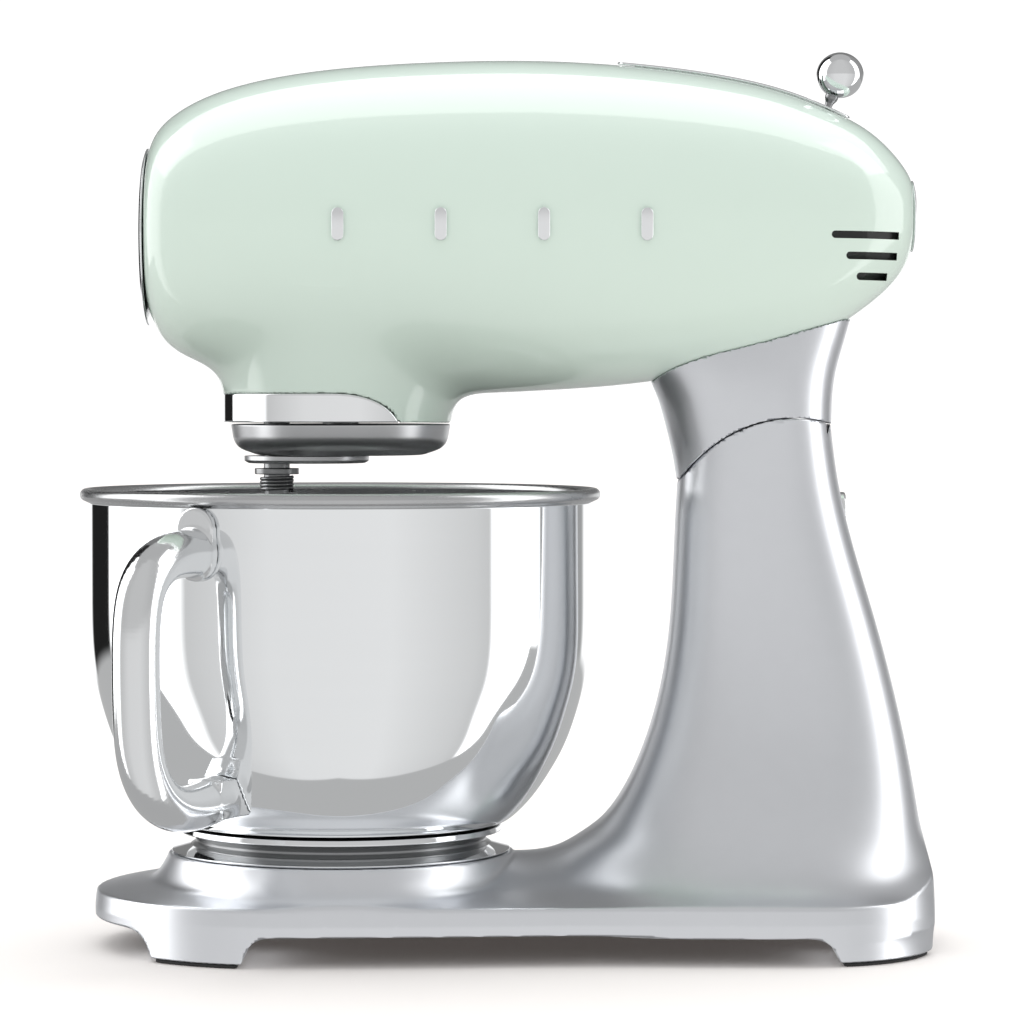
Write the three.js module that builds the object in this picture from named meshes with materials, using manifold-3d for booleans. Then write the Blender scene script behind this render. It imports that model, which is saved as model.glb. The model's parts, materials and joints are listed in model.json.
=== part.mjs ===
// A tilt-head stand mixer: cast stand, tilting motor head, planetary drive, attachment shaft and bowl.
// Millimetres, +Z up. X runs along the mixer with the nose at -X, and the mixer is symmetric about Y = 0
// apart from the bowl handle. Shapes are described about the bowl axis (X = 0, Y = 0, Z = 0 on the counter);
// the last lines move the whole model so that its origin is the centre of its box, on the counter.
import * as THREE from "three";
import { mergeVertices } from "three/addons/utils/BufferGeometryUtils.js";
import Module from "manifold-3d";

const wasm = await Module();
wasm.setup();

// ---------------------------------------------------------------- driving dimensions
const GAP = 0.3; // air left between pieces that touch in the real mixer
const BIG_ROUND = 24; // sides of the large, the usual and the small round pieces
const ROUND = 22;
const SMALL_ROUND = 14;
const TINY_ROUND = 8;

const HEAD_WALL = 3;
const HEAD_AXIS_Z = 309; // height of the motor and power hub shafts
const HUB_X = -1.5; // centre of the collar and skirt round the planetary
const HUB_R = 49.5;
const HUB_BORE_R = 45;
const HUB_BOTTOM = 228.2;
const COLLAR_TOP = 240.7;
const HUB_TOP = 270; // inside the head

const PIVOT_X = 196.5; // axis that the head tilts about
const PIVOT_Z = 172.9;
const DOME_R = 56.95; // top of the column, round the tilt axis
const NECK_R = 57.45; // underside of the neck, round the same axis
const PIN_R = 6;

const STAND_WALL = 5;
const BASE_NOSE_X = -107.6;
const BASE_REAR_X = 261;
const BASE_NOSE_R = 88; // plan radius of the base's nose
const BASE_HALF_WIDTH = 84;
const BASE_CORNER_R = 58;
const SKIRT_BOTTOM = 12;
const DECK_Z = 33;
const PEDESTAL_TOP = 40.5;
const PEDESTAL_R = 75.2;
const SEAT_RECESS_R = 60;
const SEAT_RECESS_Z = 37.5;

const PLANET_OFFSET = 28; // attachment shaft from the bowl axis
const RING_TEETH = 54;
const PLANET_TEETH = 14;
const RING_MODULE = (2 * PLANET_OFFSET) / (RING_TEETH - PLANET_TEETH);
const CROWN_TEETH = 36;
const DRIVE_TEETH = 12;
const DRIVE_MODULE = 2;
const CROWN_R = (DRIVE_MODULE * CROWN_TEETH) / 2;
const CROWN_PITCH_Z = HEAD_AXIS_Z - (DRIVE_MODULE * DRIVE_TEETH) / 2;
const TOOTH_PLAY = 0.2; // play on each flank of a tooth

const MAIN_SHAFT_R = 8;
const BEARING_R = 17;
const SHAFT_R = 5.7; // attachment shaft

const BOWL_R = 109.8;
const BOWL_SHEET = 1.2;
const BOWL_FLOOR = 52.4;
const HANDLE_R = 9.8;
const HANDLE_ANGLE = 240; // direction of the handle from the bowl axis, in degrees
const LUG_HALF_ANGLE = 13;

const TRACK_X = 118; // centre that the speed lever's curved track is drawn about
const TRACK_Z = 151;
const TRACK_R = 233.6;
const LEVER_ANGLE = 24; // lever's lean from vertical at rest, towards the rear
const LEVER_SWEEP = 20.5;

// ---------------------------------------------------------------- materials
function finish(color, roughness, metalness) {
  return new THREE.MeshStandardMaterial({ color, roughness, metalness });
}
const MINT = finish(0xcfdfd4, 0.12, 0);
const SATIN_PAINT = finish(0xc3c6cb, 0.42, 0.55);
const CHROME = finish(0xdadcde, 0.06, 1);
const MIRROR_STEEL = finish(0xd6d7d8, 0.08, 1);
const DARK_METAL = finish(0x4a4b4d, 0.35, 1);
const STEEL = finish(0x9a9da1, 0.3, 1);
const CAST = finish(0xa9abad, 0.55, 0.9);
const BLACK_PLASTIC = finish(0x161719, 0.5, 0);
const RUBBER = finish(0x2c2c2d, 0.85, 0);
const COPPER = finish(0xa8693c, 0.4, 1);
const BOARD = finish(0x2f5e41, 0.6, 0);

// ---------------------------------------------------------------- shape helpers
const radians = THREE.MathUtils.degToRad;

function signedVolume(points, faces) {
  const a = new THREE.Vector3();
  const b = new THREE.Vector3();
  const c = new THREE.Vector3();
  let sum = 0;
  for (let i = 0; i < faces.length; i += 3) {
    a.fromArray(points, 3 * faces[i]);
    b.fromArray(points, 3 * faces[i + 1]);
    c.fromArray(points, 3 * faces[i + 2]);
    sum += a.dot(b.cross(c));
  }
  return sum / 6;
}

// A closed geometry as a solid that can be joined and cut.
function solid(geometry) {
  const bare = geometry.index ? geometry.toNonIndexed() : geometry.clone();
  for (const name of Object.keys(bare.attributes)) {
    if (name !== "position") bare.deleteAttribute(name);
  }
  const merged = mergeVertices(bare, 1e-4);
  const points = new Float32Array(merged.attributes.position.array);
  const index = merged.index.array;
  const faces = [];
  for (let i = 0; i < index.length; i += 3) {
    const [a, b, c] = [index[i], index[i + 1], index[i + 2]];
    if (a !== b && b !== c && c !== a) faces.push(a, b, c);
  }
  if (signedVolume(points, faces) < 0) faces.reverse();
  return new wasm.Manifold(new wasm.Mesh({
    numProp: 3,
    vertProperties: points,
    triVerts: new Uint32Array(faces),
  }));
}

function join(first, ...others) {
  return others.reduce((sum, next) => sum.add(next), first);
}

function cut(first, ...others) {
  return others.reduce((sum, next) => sum.subtract(next), first);
}

function geometryOf(body) {
  const mesh = body.getMesh();
  const geometry = new THREE.BufferGeometry();
  geometry.setAttribute("position", new THREE.BufferAttribute(new Float32Array(mesh.vertProperties), 3));
  geometry.setIndex(new THREE.BufferAttribute(new Uint32Array(mesh.triVerts), 1));
  geometry.computeVertexNormals();
  return geometry;
}

// A profile of [radius, height] points turned about the Z axis. It starts and ends on the axis.
function turned(profile, sides = ROUND) {
  const points = profile.map(([r, z]) => new THREE.Vector2(r, z));
  return new THREE.LatheGeometry(points, sides).rotateX(Math.PI / 2);
}

// A closed profile turned about the Z axis, which leaves the axis free.
function turnedRing(profile, sides = ROUND) {
  return turned([...profile, profile[0]], sides);
}

function rod(radius, low, high, sides = SMALL_ROUND) {
  return turned([[0, low], [radius, low], [radius, high], [0, high]], sides);
}

function tube(inner, outer, low, high, sides = SMALL_ROUND) {
  return turnedRing([[inner, low], [outer, low], [outer, high], [inner, high]], sides);
}

function alongX(geometry, y = 0, z = HEAD_AXIS_Z) {
  return geometry.rotateY(Math.PI / 2).translate(0, y, z);
}

function alongY(geometry, x, z) {
  return geometry.rotateX(-Math.PI / 2).translate(x, 0, z);
}

function box(x0, x1, y0, y1, z0, z1) {
  const geometry = new THREE.BoxGeometry(x1 - x0, y1 - y0, z1 - z0);
  return geometry.translate((x0 + x1) / 2, (y0 + y1) / 2, (z0 + z1) / 2);
}

// An outline of [x, z] points, or a shape, given depth along Y.
function slab(outline, y0, y1, curveSegments = 12) {
  const isShape = outline instanceof THREE.Shape;
  const shape = isShape ? outline : new THREE.Shape(outline.map(([x, z]) => new THREE.Vector2(x, z)));
  const geometry = new THREE.ExtrudeGeometry(shape, { depth: y1 - y0, bevelEnabled: false, curveSegments });
  return geometry.rotateX(Math.PI / 2).translate(0, y1, 0);
}

// An outline of [x, y] points given height along Z.
function prism(outline, low, high, holes = []) {
  const shape = new THREE.Shape(outline.map(([x, y]) => new THREE.Vector2(x, y)));
  for (const hole of holes) shape.holes.push(new THREE.Path(hole.map(([x, y]) => new THREE.Vector2(x, y))));
  const geometry = new THREE.ExtrudeGeometry(shape, { depth: high - low, bevelEnabled: false });
  return geometry.translate(0, 0, low);
}

// Closed rings of points, all of one length, joined in order and closed at both ends.
function loft(rings) {
  const count = rings[0].length;
  const points = rings.flat();
  const faces = [];
  for (let k = 0; k + 1 < rings.length; k += 1) {
    for (let i = 0; i < count; i += 1) {
      const next = (i + 1) % count;
      const a = k * count + i;
      const b = k * count + next;
      faces.push(a, b, b + count, a, b + count, a + count);
    }
  }
  for (const [first, flip] of [[0, true], [(rings.length - 1) * count, false]]) {
    const centre = new THREE.Vector3();
    for (let i = 0; i < count; i += 1) centre.addScaledVector(points[first + i], 1 / count);
    points.push(centre);
    for (let i = 0; i < count; i += 1) {
      const pair = [first + i, first + ((i + 1) % count)];
      if (flip) pair.reverse();
      faces.push(pair[0], pair[1], points.length - 1);
    }
  }
  const geometry = new THREE.BufferGeometry().setFromPoints(points);
  geometry.setIndex(faces);
  return geometry;
}

// One point of a rounded rectangle or squarish ellipse at a share (0 to 1) of a turn.
function squarish(share, halfA, halfB, exponent) {
  const angle = 2 * Math.PI * share;
  const bend = (value) => Math.sign(value) * Math.abs(value) ** (2 / exponent);
  return [halfA * bend(Math.cos(angle)), halfB * bend(Math.sin(angle))];
}

// A block that spans angles a0 to a1 (degrees) between two radii and two heights.
function sector(inner, outer, low, high, a0, a1) {
  const steps = 3;
  const outline = [];
  for (const radius of [outer, inner]) {
    for (let i = 0; i <= steps; i += 1) {
      const share = radius === outer ? i / steps : 1 - i / steps;
      const angle = radians(a0 + (a1 - a0) * share);
      outline.push([radius * Math.cos(angle), radius * Math.sin(angle)]);
    }
  }
  return prism(outline, low, high);
}

// Gear teeth with straight flanks. Half angles are shares of one tooth's pitch.
function gearOutline(teeth, rootR, tipR, rootShare, tipShare) {
  const pitch = (2 * Math.PI) / teeth;
  const outline = [];
  for (let tooth = 0; tooth < teeth; tooth += 1) {
    const corners = [[rootR, -rootShare], [tipR, -tipShare], [tipR, tipShare], [rootR, rootShare]];
    for (const [radius, share] of corners) {
      const angle = (tooth + share) * pitch;
      outline.push([radius * Math.cos(angle), radius * Math.sin(angle)]);
    }
  }
  return outline;
}

// ---------------------------------------------------------------- outer forms
// Head sections from nose to tail: [top x, top z, bottom x, bottom z, half width].
const HEAD_SECTIONS = [
  [-83.0, 348.2, -82.0, 269.8, 39.2],
  [-79.4, 355.5, -78.5, 264.0, 45.5],
  [-72.0, 361.5, -72.0, 258.0, 50.5],
  [-60.0, 368.5, -60.0, 251.5, 55.0],
  [-40.0, 375.6, -42.0, 244.0, 59.0],
  [-10.0, 381.0, -10.0, 239.8, 62.0],
  [40.0, 384.8, 40.0, 238.9, 64.0],
  [90.0, 385.3, 90.0, 241.8, 64.5],
  [130.0, 382.8, 130.0, 245.2, 62.5],
  [165.0, 378.2, 163.0, 250.5, 58.5],
  [193.0, 371.8, 190.0, 257.0, 53.0],
  [213.0, 364.3, 210.0, 265.5, 46.5],
  [229.0, 356.0, 226.0, 275.8, 39.0],
  [240.0, 346.5, 238.0, 285.5, 30.5],
  [247.0, 337.5, 246.0, 295.5, 22.0],
  [249.2, 333.8, 249.0, 302.2, 16.0],
];
const HEAD_SIDES = 18;
const HEAD_ROUNDNESS = 2.25;

// The head's form, moved in by inset all round (out where inset is negative).
function headForm(inset) {
  const last = HEAD_SECTIONS.length - 1;
  const rings = HEAD_SECTIONS.map(([topX, topZ, bottomX, bottomZ, halfWidth], row) => {
    const shift = row === 0 ? inset : row === last ? -inset : 0;
    const top = new THREE.Vector3(topX + shift, 0, topZ);
    const bottom = new THREE.Vector3(bottomX + shift, 0, bottomZ);
    const centre = top.clone().add(bottom).multiplyScalar(0.5);
    const up = top.clone().sub(centre);
    const half = up.length();
    const ring = [];
    for (let i = 0; i < HEAD_SIDES; i += 1) {
      const shorter = (half - inset) / half;
      const [across, along] = squarish(i / HEAD_SIDES, halfWidth - inset, shorter, HEAD_ROUNDNESS);
      ring.push(new THREE.Vector3(0, across, 0).add(centre).addScaledVector(up, along));
    }
    return ring;
  });
  return solid(loft(rings));
}

// A form stacked up in Z from rows of [z, front x, rear x, half width], moved in by inset.
function stackedForm(rows, inset, exponent, sides) {
  return solid(loft(rows.map(([z, front, rear, halfWidth]) => {
    const ring = [];
    for (let i = 0; i < sides; i += 1) {
      const [x, y] = squarish(i / sides, (rear - front) / 2 - inset, halfWidth - inset, exponent);
      ring.push(new THREE.Vector3((front + rear) / 2 + x, y, z));
    }
    return ring;
  })));
}

// Plan outline of the base, moved in by inset: a round nose and a squarer rear.
function baseOutline(inset, z) {
  const ring = [];
  const noseSteps = 12;
  for (let i = 0; i <= noseSteps; i += 1) {
    const angle = radians(90 + (180 * i) / noseSteps);
    const radius = BASE_NOSE_R - inset;
    ring.push([BASE_NOSE_X + BASE_NOSE_R + radius * Math.cos(angle), radius * Math.sin(angle)]);
  }
  const cornerSteps = 3;
  for (const side of [-1, 1]) {
    for (let i = 0; i <= cornerSteps; i += 1) {
      const angle = radians(side < 0 ? -90 + (90 * i) / cornerSteps : (90 * i) / cornerSteps);
      const radius = BASE_CORNER_R - inset;
      const x = BASE_REAR_X - BASE_CORNER_R + radius * Math.cos(angle);
      ring.push([x, side * (BASE_HALF_WIDTH - BASE_CORNER_R) + radius * Math.sin(angle)]);
    }
  }
  return ring.map(([x, y]) => new THREE.Vector3(x, y, z));
}

// The base's plate: near-vertical skirt, rounded shoulder and a gently crowned deck.
function baseForm(rows) {
  return solid(loft(rows.map(([z, setIn]) => baseOutline(setIn, z))));
}
const BASE_ROWS = [[SKIRT_BOTTOM, 0.6], [17, 0], [23, 1.6], [27, 5.5], [30, 13], [32.2, 25], [DECK_Z, 40]];
const BASE_HOLLOW_ROWS = [[SKIRT_BOTTOM - 4, STAND_WALL], [21, STAND_WALL + 1], [26.5, STAND_WALL + 11]];

const COLUMN_ROWS = [
  [28, 60, 258.6, 78],
  [40.2, 70, 257.9, 70],
  [41.4, 94, 257.6, 65],
  [45.3, 105, 257.1, 60],
  [52.8, 113.7, 255.7, 54],
  [65, 122.5, 253.2, 47.5],
  [83, 131.3, 249.2, 42],
  [112, 140, 242, 37.5],
  [144, 144.5, 233.4, 34.8],
  [172, 145.9, 225, 33.6],
  [203, 147.6, 217.6, 33],
  [232, 150, 213.8, 33],
];
const COLUMN_SIDES = 14;
const DOME_SIDES = 36;

// The column, its top rounded about the tilt axis. Its foot flares out, so there an inset also goes down.
function columnForm(inset) {
  const rows = COLUMN_ROWS.map(([z, ...plan]) => [z < 50 ? z - inset : z, ...plan]);
  const body = stackedForm(rows, inset, 2.6, COLUMN_SIDES);
  const dome = solid(alongY(rod(DOME_R - inset, -90, 90, DOME_SIDES), PIVOT_X, PIVOT_Z));
  const below = solid(box(40, 280, -90, 90, 0, PIVOT_Z));
  return body.intersect(dome.add(below));
}

// A wedge about the tilt axis between two angles, in degrees up from the rear.
function pivotWedge(inner, outer, a0, a1, halfWidth) {
  const steps = 8;
  const outline = [];
  for (let i = 0; i <= steps; i += 1) outline.push([outer, a0 + ((a1 - a0) * i) / steps]);
  for (let i = steps; i >= 0; i -= 1) outline.push([inner, a0 + ((a1 - a0) * i) / steps]);
  const points = outline.map(([radius, angle]) => [
    PIVOT_X + radius * Math.cos(radians(angle)),
    PIVOT_Z + radius * Math.sin(radians(angle)),
  ]);
  return solid(slab(points, -halfWidth, halfWidth));
}

// ---------------------------------------------------------------- assembly
const mixer = new THREE.Group();
const stand = new THREE.Group();
const head = new THREE.Group();
const bowl = new THREE.Group();
mixer.add(stand, head, bowl);

function add(group, name, shape, material) {
  const geometry = shape instanceof THREE.BufferGeometry ? geometryOf(solid(shape)) : geometryOf(shape);
  const mesh = new THREE.Mesh(geometry, material);
  mesh.name = name;
  group.add(mesh);
}

// ---------------------------------------------------------------- stand
// Legs: name, x where the foot starts and ends, how far the leg flares out above it to the front and
// to the rear, and its side.
const LEGS = [
  ["front_left", -76, -40, 7, 12, -1],
  ["front_right", -76, -40, 7, 12, 1],
  ["rear_left", 213.7, 262, 6, 0, -1],
  ["rear_right", 213.7, 262, 6, 0, 1],
];
const LEG_INNER_Y = 38;
const LEG_TOP = 20; // inside the base
const LEG_BLOCK_MARGIN = 3; // solid metal kept round each leg inside the base
const FOOT_HEIGHT = 3;
const FOOT_INSET = 1; // the rubber foot is this much smaller than the leg all round
const RELEASE_X = 212; // inner face of the release button
const RELEASE_Z = 190;
const CORD_Z = 23;
const COVER_TOP = SKIRT_BOTTOM + 4;
const COVER_SHEET = 2;
const SCREW_PLACES = [[-5, -50], [-5, 50], [110, -60], [110, 60]];
const SCREW_HOLE_R = 1.9;
const SCREW_END = 23;
const CORD_R = 5.6;

// A leg: the skirt carried down to the foot inside a window that flares out upwards.
function legForm([, start, end, flareFront, flareRear, side]) {
  const skirt = baseForm([[FOOT_HEIGHT + GAP, 1.4], [SKIRT_BOTTOM, 0.7], [LEG_TOP, 0.5]]);
  const low = FOOT_HEIGHT + GAP - 1;
  const window = new THREE.Shape();
  window.moveTo(start, low);
  window.lineTo(end, low);
  window.quadraticCurveTo(end + flareRear * 0.15, SKIRT_BOTTOM - 1, end + flareRear, SKIRT_BOTTOM);
  window.lineTo(end + flareRear, LEG_TOP + 1);
  window.lineTo(start - flareFront, LEG_TOP + 1);
  window.lineTo(start - flareFront, SKIRT_BOTTOM);
  window.quadraticCurveTo(start - flareFront * 0.15, SKIRT_BOTTOM - 1, start, low);
  const span = [side * LEG_INNER_Y, side * 100].sort((a, b) => a - b);
  return skirt.intersect(solid(slab(window, ...span, 4)));
}

// The space a leg takes inside the base, with a margin all round.
function legBlock([, start, end, flareFront, flareRear, side], margin, height) {
  const span = [side * (LEG_INNER_Y - margin), side * 100].sort((a, b) => a - b);
  return solid(box(start - flareFront - margin, end + flareRear + margin, ...span, 0, height));
}

function footForm([, start, end, , , side]) {
  const inner = LEG_INNER_Y + FOOT_INSET;
  const span = [side * inner, side * 100].sort((a, b) => a - b);
  const skirt = baseForm([[0, 3.4], [0.8, 2.4], [FOOT_HEIGHT, 2.4]]);
  return skirt.intersect(solid(box(start + FOOT_INSET, end - FOOT_INSET, ...span, -1, FOOT_HEIGHT + 1)));
}

function screwHoles() {
  return SCREW_PLACES.map(([x, y]) => solid(rod(SCREW_HOLE_R, 0, SCREW_END, TINY_ROUND).translate(x, y, 0)));
}

function standCasting() {
  const pedestal = solid(turned([
    [0, 24], [88, 24], [87.5, 31.4], [81.5, 34.6], [77.6, 38.2],
    [PEDESTAL_R, PEDESTAL_TOP], [0, PEDESTAL_TOP],
  ], BIG_ROUND));
  const outside = join(baseForm(BASE_ROWS), pedestal, columnForm(0), ...LEGS.map(legForm));
  const plateHollow = baseForm(BASE_HOLLOW_ROWS);
  const pedestalHollow = solid(rod(70, SKIRT_BOTTOM, SEAT_RECESS_Z - 4, ROUND));
  const blocks = LEGS.map((leg) => legBlock(leg, LEG_BLOCK_MARGIN, LEG_TOP));
  const bosses = SCREW_PLACES.map(([x, y]) => (
    solid(rod(5, COVER_TOP + GAP, 60, TINY_ROUND).translate(x, y, 0))
  ));
  const hollow = cut(join(plateHollow, pedestalHollow, columnForm(STAND_WALL)), ...blocks, ...bosses);
  const ears = [-1, 1].map((side) => (
    solid(alongY(rod(13, side < 0 ? -30 : 21, side < 0 ? -21 : 30), PIVOT_X, PIVOT_Z))
  ));
  const pinHole = solid(alongY(rod(PIN_R + GAP, -28.8, 28.8), PIVOT_X, PIVOT_Z));
  const armSlot = pivotWedge(36, 70, 73.2, 135, 18);
  const seatRecess = solid(rod(SEAT_RECESS_R, SEAT_RECESS_Z, 60, BIG_ROUND));
  const releaseHole = solid(alongX(rod(8, 205, 240), 0, RELEASE_Z));
  const flangePocket = solid(alongX(rod(10, 205, RELEASE_X + 2.2), 0, RELEASE_Z));
  const cordHole = solid(alongX(rod(CORD_R, 240, 280), 0, CORD_Z));
  return cut(outside, hollow, seatRecess, releaseHole, flangePocket, cordHole, armSlot, ...screwHoles())
    .add(cut(join(...ears), pinHole).intersect(columnForm(1)))
    .subtract(pinHole);
}

function baseCover() {
  const outline = baseOutline(STAND_WALL + 4, 0).map((point) => [point.x, point.y]);
  const plate = solid(prism(outline, COVER_TOP - COVER_SHEET, COVER_TOP));
  const notches = LEGS.map((leg) => legBlock(leg, LEG_BLOCK_MARGIN + 4, LEG_TOP + 10));
  return cut(plate, ...notches, ...screwHoles());
}

function bowlSeat() {
  const bottom = SEAT_RECESS_Z + GAP;
  const plate = turned([[0, bottom], [57, bottom], [57, 40.9], [0, 40.9]], BIG_ROUND);
  const lugs = [0, 1, 2].flatMap((i) => {
    const middle = HANDLE_ANGLE + 120 * i;
    const span = [middle - LUG_HALF_ANGLE, middle + LUG_HALF_ANGLE];
    return [sector(50, 56, 40, 46.6, ...span), sector(50, 60.5, 44.4, 46.6, ...span)];
  });
  return join(solid(plate), ...lugs.map(solid));
}

add(stand, "stand_casting", standCasting(), SATIN_PAINT);
add(stand, "base_cover", baseCover(), BLACK_PLASTIC);
for (const leg of LEGS) add(stand, `foot_${leg[0]}`, footForm(leg), RUBBER);
add(stand, "bowl_seat", bowlSeat(), STEEL);
add(stand, "hinge_pin", alongY(rod(PIN_R, -28.4, 28.4), PIVOT_X, PIVOT_Z), STEEL);
add(stand, "cord_inlet", alongX(turnedRing([
  [3.2, 250], [5.2, 250], [5.2, 261.4], [7, 261.4], [6.5, 262.4], [3.2, 262.4],
], SMALL_ROUND), 0, CORD_Z), RUBBER);

for (const [i, [x, y]] of SCREW_PLACES.entries()) {
  const underCover = COVER_TOP - COVER_SHEET - GAP;
  const screw = turned([
    [0, 11.6], [3.4, 11.6], [3.4, underCover], [1.5, underCover], [1.5, SCREW_END - 2], [0, SCREW_END - 2],
  ], TINY_ROUND);
  add(stand, `cover_screw_${i + 1}`, screw.translate(x, y, 0), STEEL);
}

// ---------------------------------------------------------------- release button
add(stand, "release_button", alongX(turned([
  [0, RELEASE_X], [9.4, RELEASE_X], [9.4, RELEASE_X + 1.8], [7.6, RELEASE_X + 1.8],
  [7.6, RELEASE_X + 8.2], [6.6, RELEASE_X + 9], [0, RELEASE_X + 9],
], SMALL_ROUND), 0, RELEASE_Z), CHROME);

// ---------------------------------------------------------------- neck and head shell
const NECK_ROWS = [
  [198, 147.8, 214, 33],
  [214, 145.4, 214.2, 33],
  [227, 142.3, 214.5, 33],
  [238, 139.2, 214.8, 33.2],
  [250, 134, 216.3, 33],
  [263, 129, 219.8, 32],
  [285, 122, 226, 30],
];
const ARM_ANGLES = [111, 132];

function neckCasting() {
  const body = stackedForm(NECK_ROWS, 0, 2.6, COLUMN_SIDES);
  const domeSpace = solid(alongY(rod(NECK_R, -60, 60, DOME_SIDES), PIVOT_X, PIVOT_Z));
  const belowSplit = solid(box(215.5, 260, -60, 60, 150, 227));
  const block = cut(body, domeSpace, belowSplit, headForm(-GAP));
  const hub = solid(alongY(rod(13.5, -17, 17), PIVOT_X, PIVOT_Z));
  const arm = solid(slab([[12, 160], [60, ARM_ANGLES[1]], [70, ARM_ANGLES[1] - 4], [70, ARM_ANGLES[0] + 4],
    [60, ARM_ANGLES[0]], [12, 80]].map(([radius, angle]) => [
    PIVOT_X + radius * Math.cos(radians(angle)),
    PIVOT_Z + radius * Math.sin(radians(angle)),
  ]), -16, 16));
  const bore = solid(alongY(rod(PIN_R + GAP, -20, 20), PIVOT_X, PIVOT_Z));
  return cut(join(block, hub, arm), bore);
}

// Everything above the curved edge where the chrome collar ends and the painted skirt begins.
function aboveCollarEdge(lift) {
  const edge = new THREE.Shape();
  edge.moveTo(HUB_X - 70, COLLAR_TOP + lift);
  edge.lineTo(HUB_X, COLLAR_TOP + lift);
  edge.bezierCurveTo(
    HUB_X + 14, COLLAR_TOP + lift, HUB_X + 25, COLLAR_TOP - 4 + lift, HUB_X + 29, HUB_BOTTOM - 2 + lift,
  );
  edge.lineTo(HUB_X + 29, HUB_BOTTOM - 12);
  edge.lineTo(HUB_X + 70, HUB_BOTTOM - 12);
  edge.lineTo(HUB_X + 70, 300);
  edge.lineTo(HUB_X - 70, 300);
  return solid(slab(edge, -70, 70));
}

function hubRing() {
  const profile = [
    [HUB_BORE_R, HUB_BOTTOM], [HUB_R - 0.6, HUB_BOTTOM], [HUB_R, HUB_BOTTOM + 0.8],
    [HUB_R, HUB_TOP], [HUB_BORE_R, HUB_TOP],
  ];
  return solid(turnedRing(profile, BIG_ROUND).translate(HUB_X, 0, 0));
}

const VENTS = [[215, 245, 308.6], [221.7, 245, 299.8], [226.8, 242, 291.1]];
const VENT_HALF = 1.85;
const TRIM_X = [1.5, 45, 88.5, 132];
const TRIM_HALF = 7;
const TRIM_HALF_WIDTH = 2.6;
const TRIM_Z = 312;

function ventSlot([x0, x1, z]) {
  const slot = new THREE.Shape();
  slot.absarc(x0 + VENT_HALF, z, VENT_HALF, Math.PI / 2, 1.5 * Math.PI);
  slot.lineTo(x1, z - VENT_HALF);
  slot.lineTo(x1, z + VENT_HALF);
  return slab(slot, -80, 80, 6);
}

// The lever rides a curved track: a point at a radius and a lean from vertical, in degrees.
function onTrack(radius, lean) {
  return [TRACK_X + radius * Math.sin(radians(lean)), TRACK_Z + radius * Math.cos(radians(lean))];
}

function trackStrip(inner, outer, lean0, lean1, halfWidth) {
  const steps = 10;
  const outline = [];
  for (let i = 0; i <= steps; i += 1) outline.push(onTrack(outer, lean0 + ((lean1 - lean0) * i) / steps));
  for (let i = steps; i >= 0; i -= 1) outline.push(onTrack(inner, lean0 + ((lean1 - lean0) * i) / steps));
  return solid(slab(outline, -halfWidth, halfWidth));
}

const LEVER_SLOT = [LEVER_ANGLE - LEVER_SWEEP - 0.8, LEVER_ANGLE + 0.8];

function headShell() {
  const bottomOpening = solid(rod(HUB_BORE_R, 180, HUB_TOP, BIG_ROUND).translate(HUB_X, 0, 0));
  const skirt = cut(hubRing().intersect(aboveCollarEdge(GAP)), headForm(1));
  const neckOpening = solid(box(152, 205, -24, 24, 235, 275));
  const disc = solid(alongX(rod(23, -100, -70)));
  const slots = VENTS.map((vent) => solid(ventSlot(vent)));
  return cut(join(headForm(0), skirt), headForm(HEAD_WALL), bottomOpening, neckOpening, disc,
    trackStrip(TRACK_R - 12, TRACK_R + 12, ...LEVER_SLOT, 3), ...slots);
}

function hubCollar() {
  return cut(hubRing(), aboveCollarEdge(0), headForm(-GAP));
}

function skin(inset, thickness, region) {
  return cut(headForm(inset), headForm(inset + thickness)).intersect(region);
}

function speedPlate() {
  const region = solid(box(121, 222.2, -11, 11, 340, 400));
  return cut(skin(-1.3, 1, region), trackStrip(TRACK_R - 12, TRACK_R + 12, ...LEVER_SLOT, 2.8));
}

function trimBar(x, side) {
  const outline = new THREE.Shape();
  outline.absarc(x, TRIM_Z + TRIM_HALF - TRIM_HALF_WIDTH, TRIM_HALF_WIDTH, 0, Math.PI);
  outline.absarc(x, TRIM_Z - TRIM_HALF + TRIM_HALF_WIDTH, TRIM_HALF_WIDTH, Math.PI, 2 * Math.PI);
  const ends = side < 0 ? [-90, -30] : [30, 90];
  return skin(-1.5, 1.2, solid(slab(outline, ...ends, 4)));
}

function ventPanel(side) {
  const ends = side < 0 ? [-60, -12] : [12, 60];
  return skin(HEAD_WALL + GAP, 1.4, solid(box(211, 243.5, ...ends, 286, 314)));
}

add(head, "neck_casting", neckCasting(), SATIN_PAINT);
add(head, "head_shell", headShell(), MINT);
add(head, "hub_collar", hubCollar(), CHROME);
add(head, "speed_plate", speedPlate(), CHROME);
add(head, "rear_disc", alongX(turned([
  [0, 249.6], [15, 249.6], [15.8, 250.4], [13, 251.6], [0, 252.2],
], ROUND), 0, 318), CHROME);
for (const [name, side] of [["left", -1], ["right", 1]]) {
  add(head, `vent_panel_${name}`, ventPanel(side), BLACK_PLASTIC);
  for (const [i, x] of TRIM_X.entries()) add(head, `trim_${name}_${i + 1}`, trimBar(x, side), CHROME);
}

// ---------------------------------------------------------------- speed lever
const KNOB_R = 10.3;
const KNOB_X = 218.3;
const KNOB_Z = 379.6;
const CARRIAGE = [TRACK_R - 12.6, TRACK_R - 7.6]; // radii of the block that slides on the track
const speedLever = new THREE.Group();
head.add(speedLever);

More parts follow.
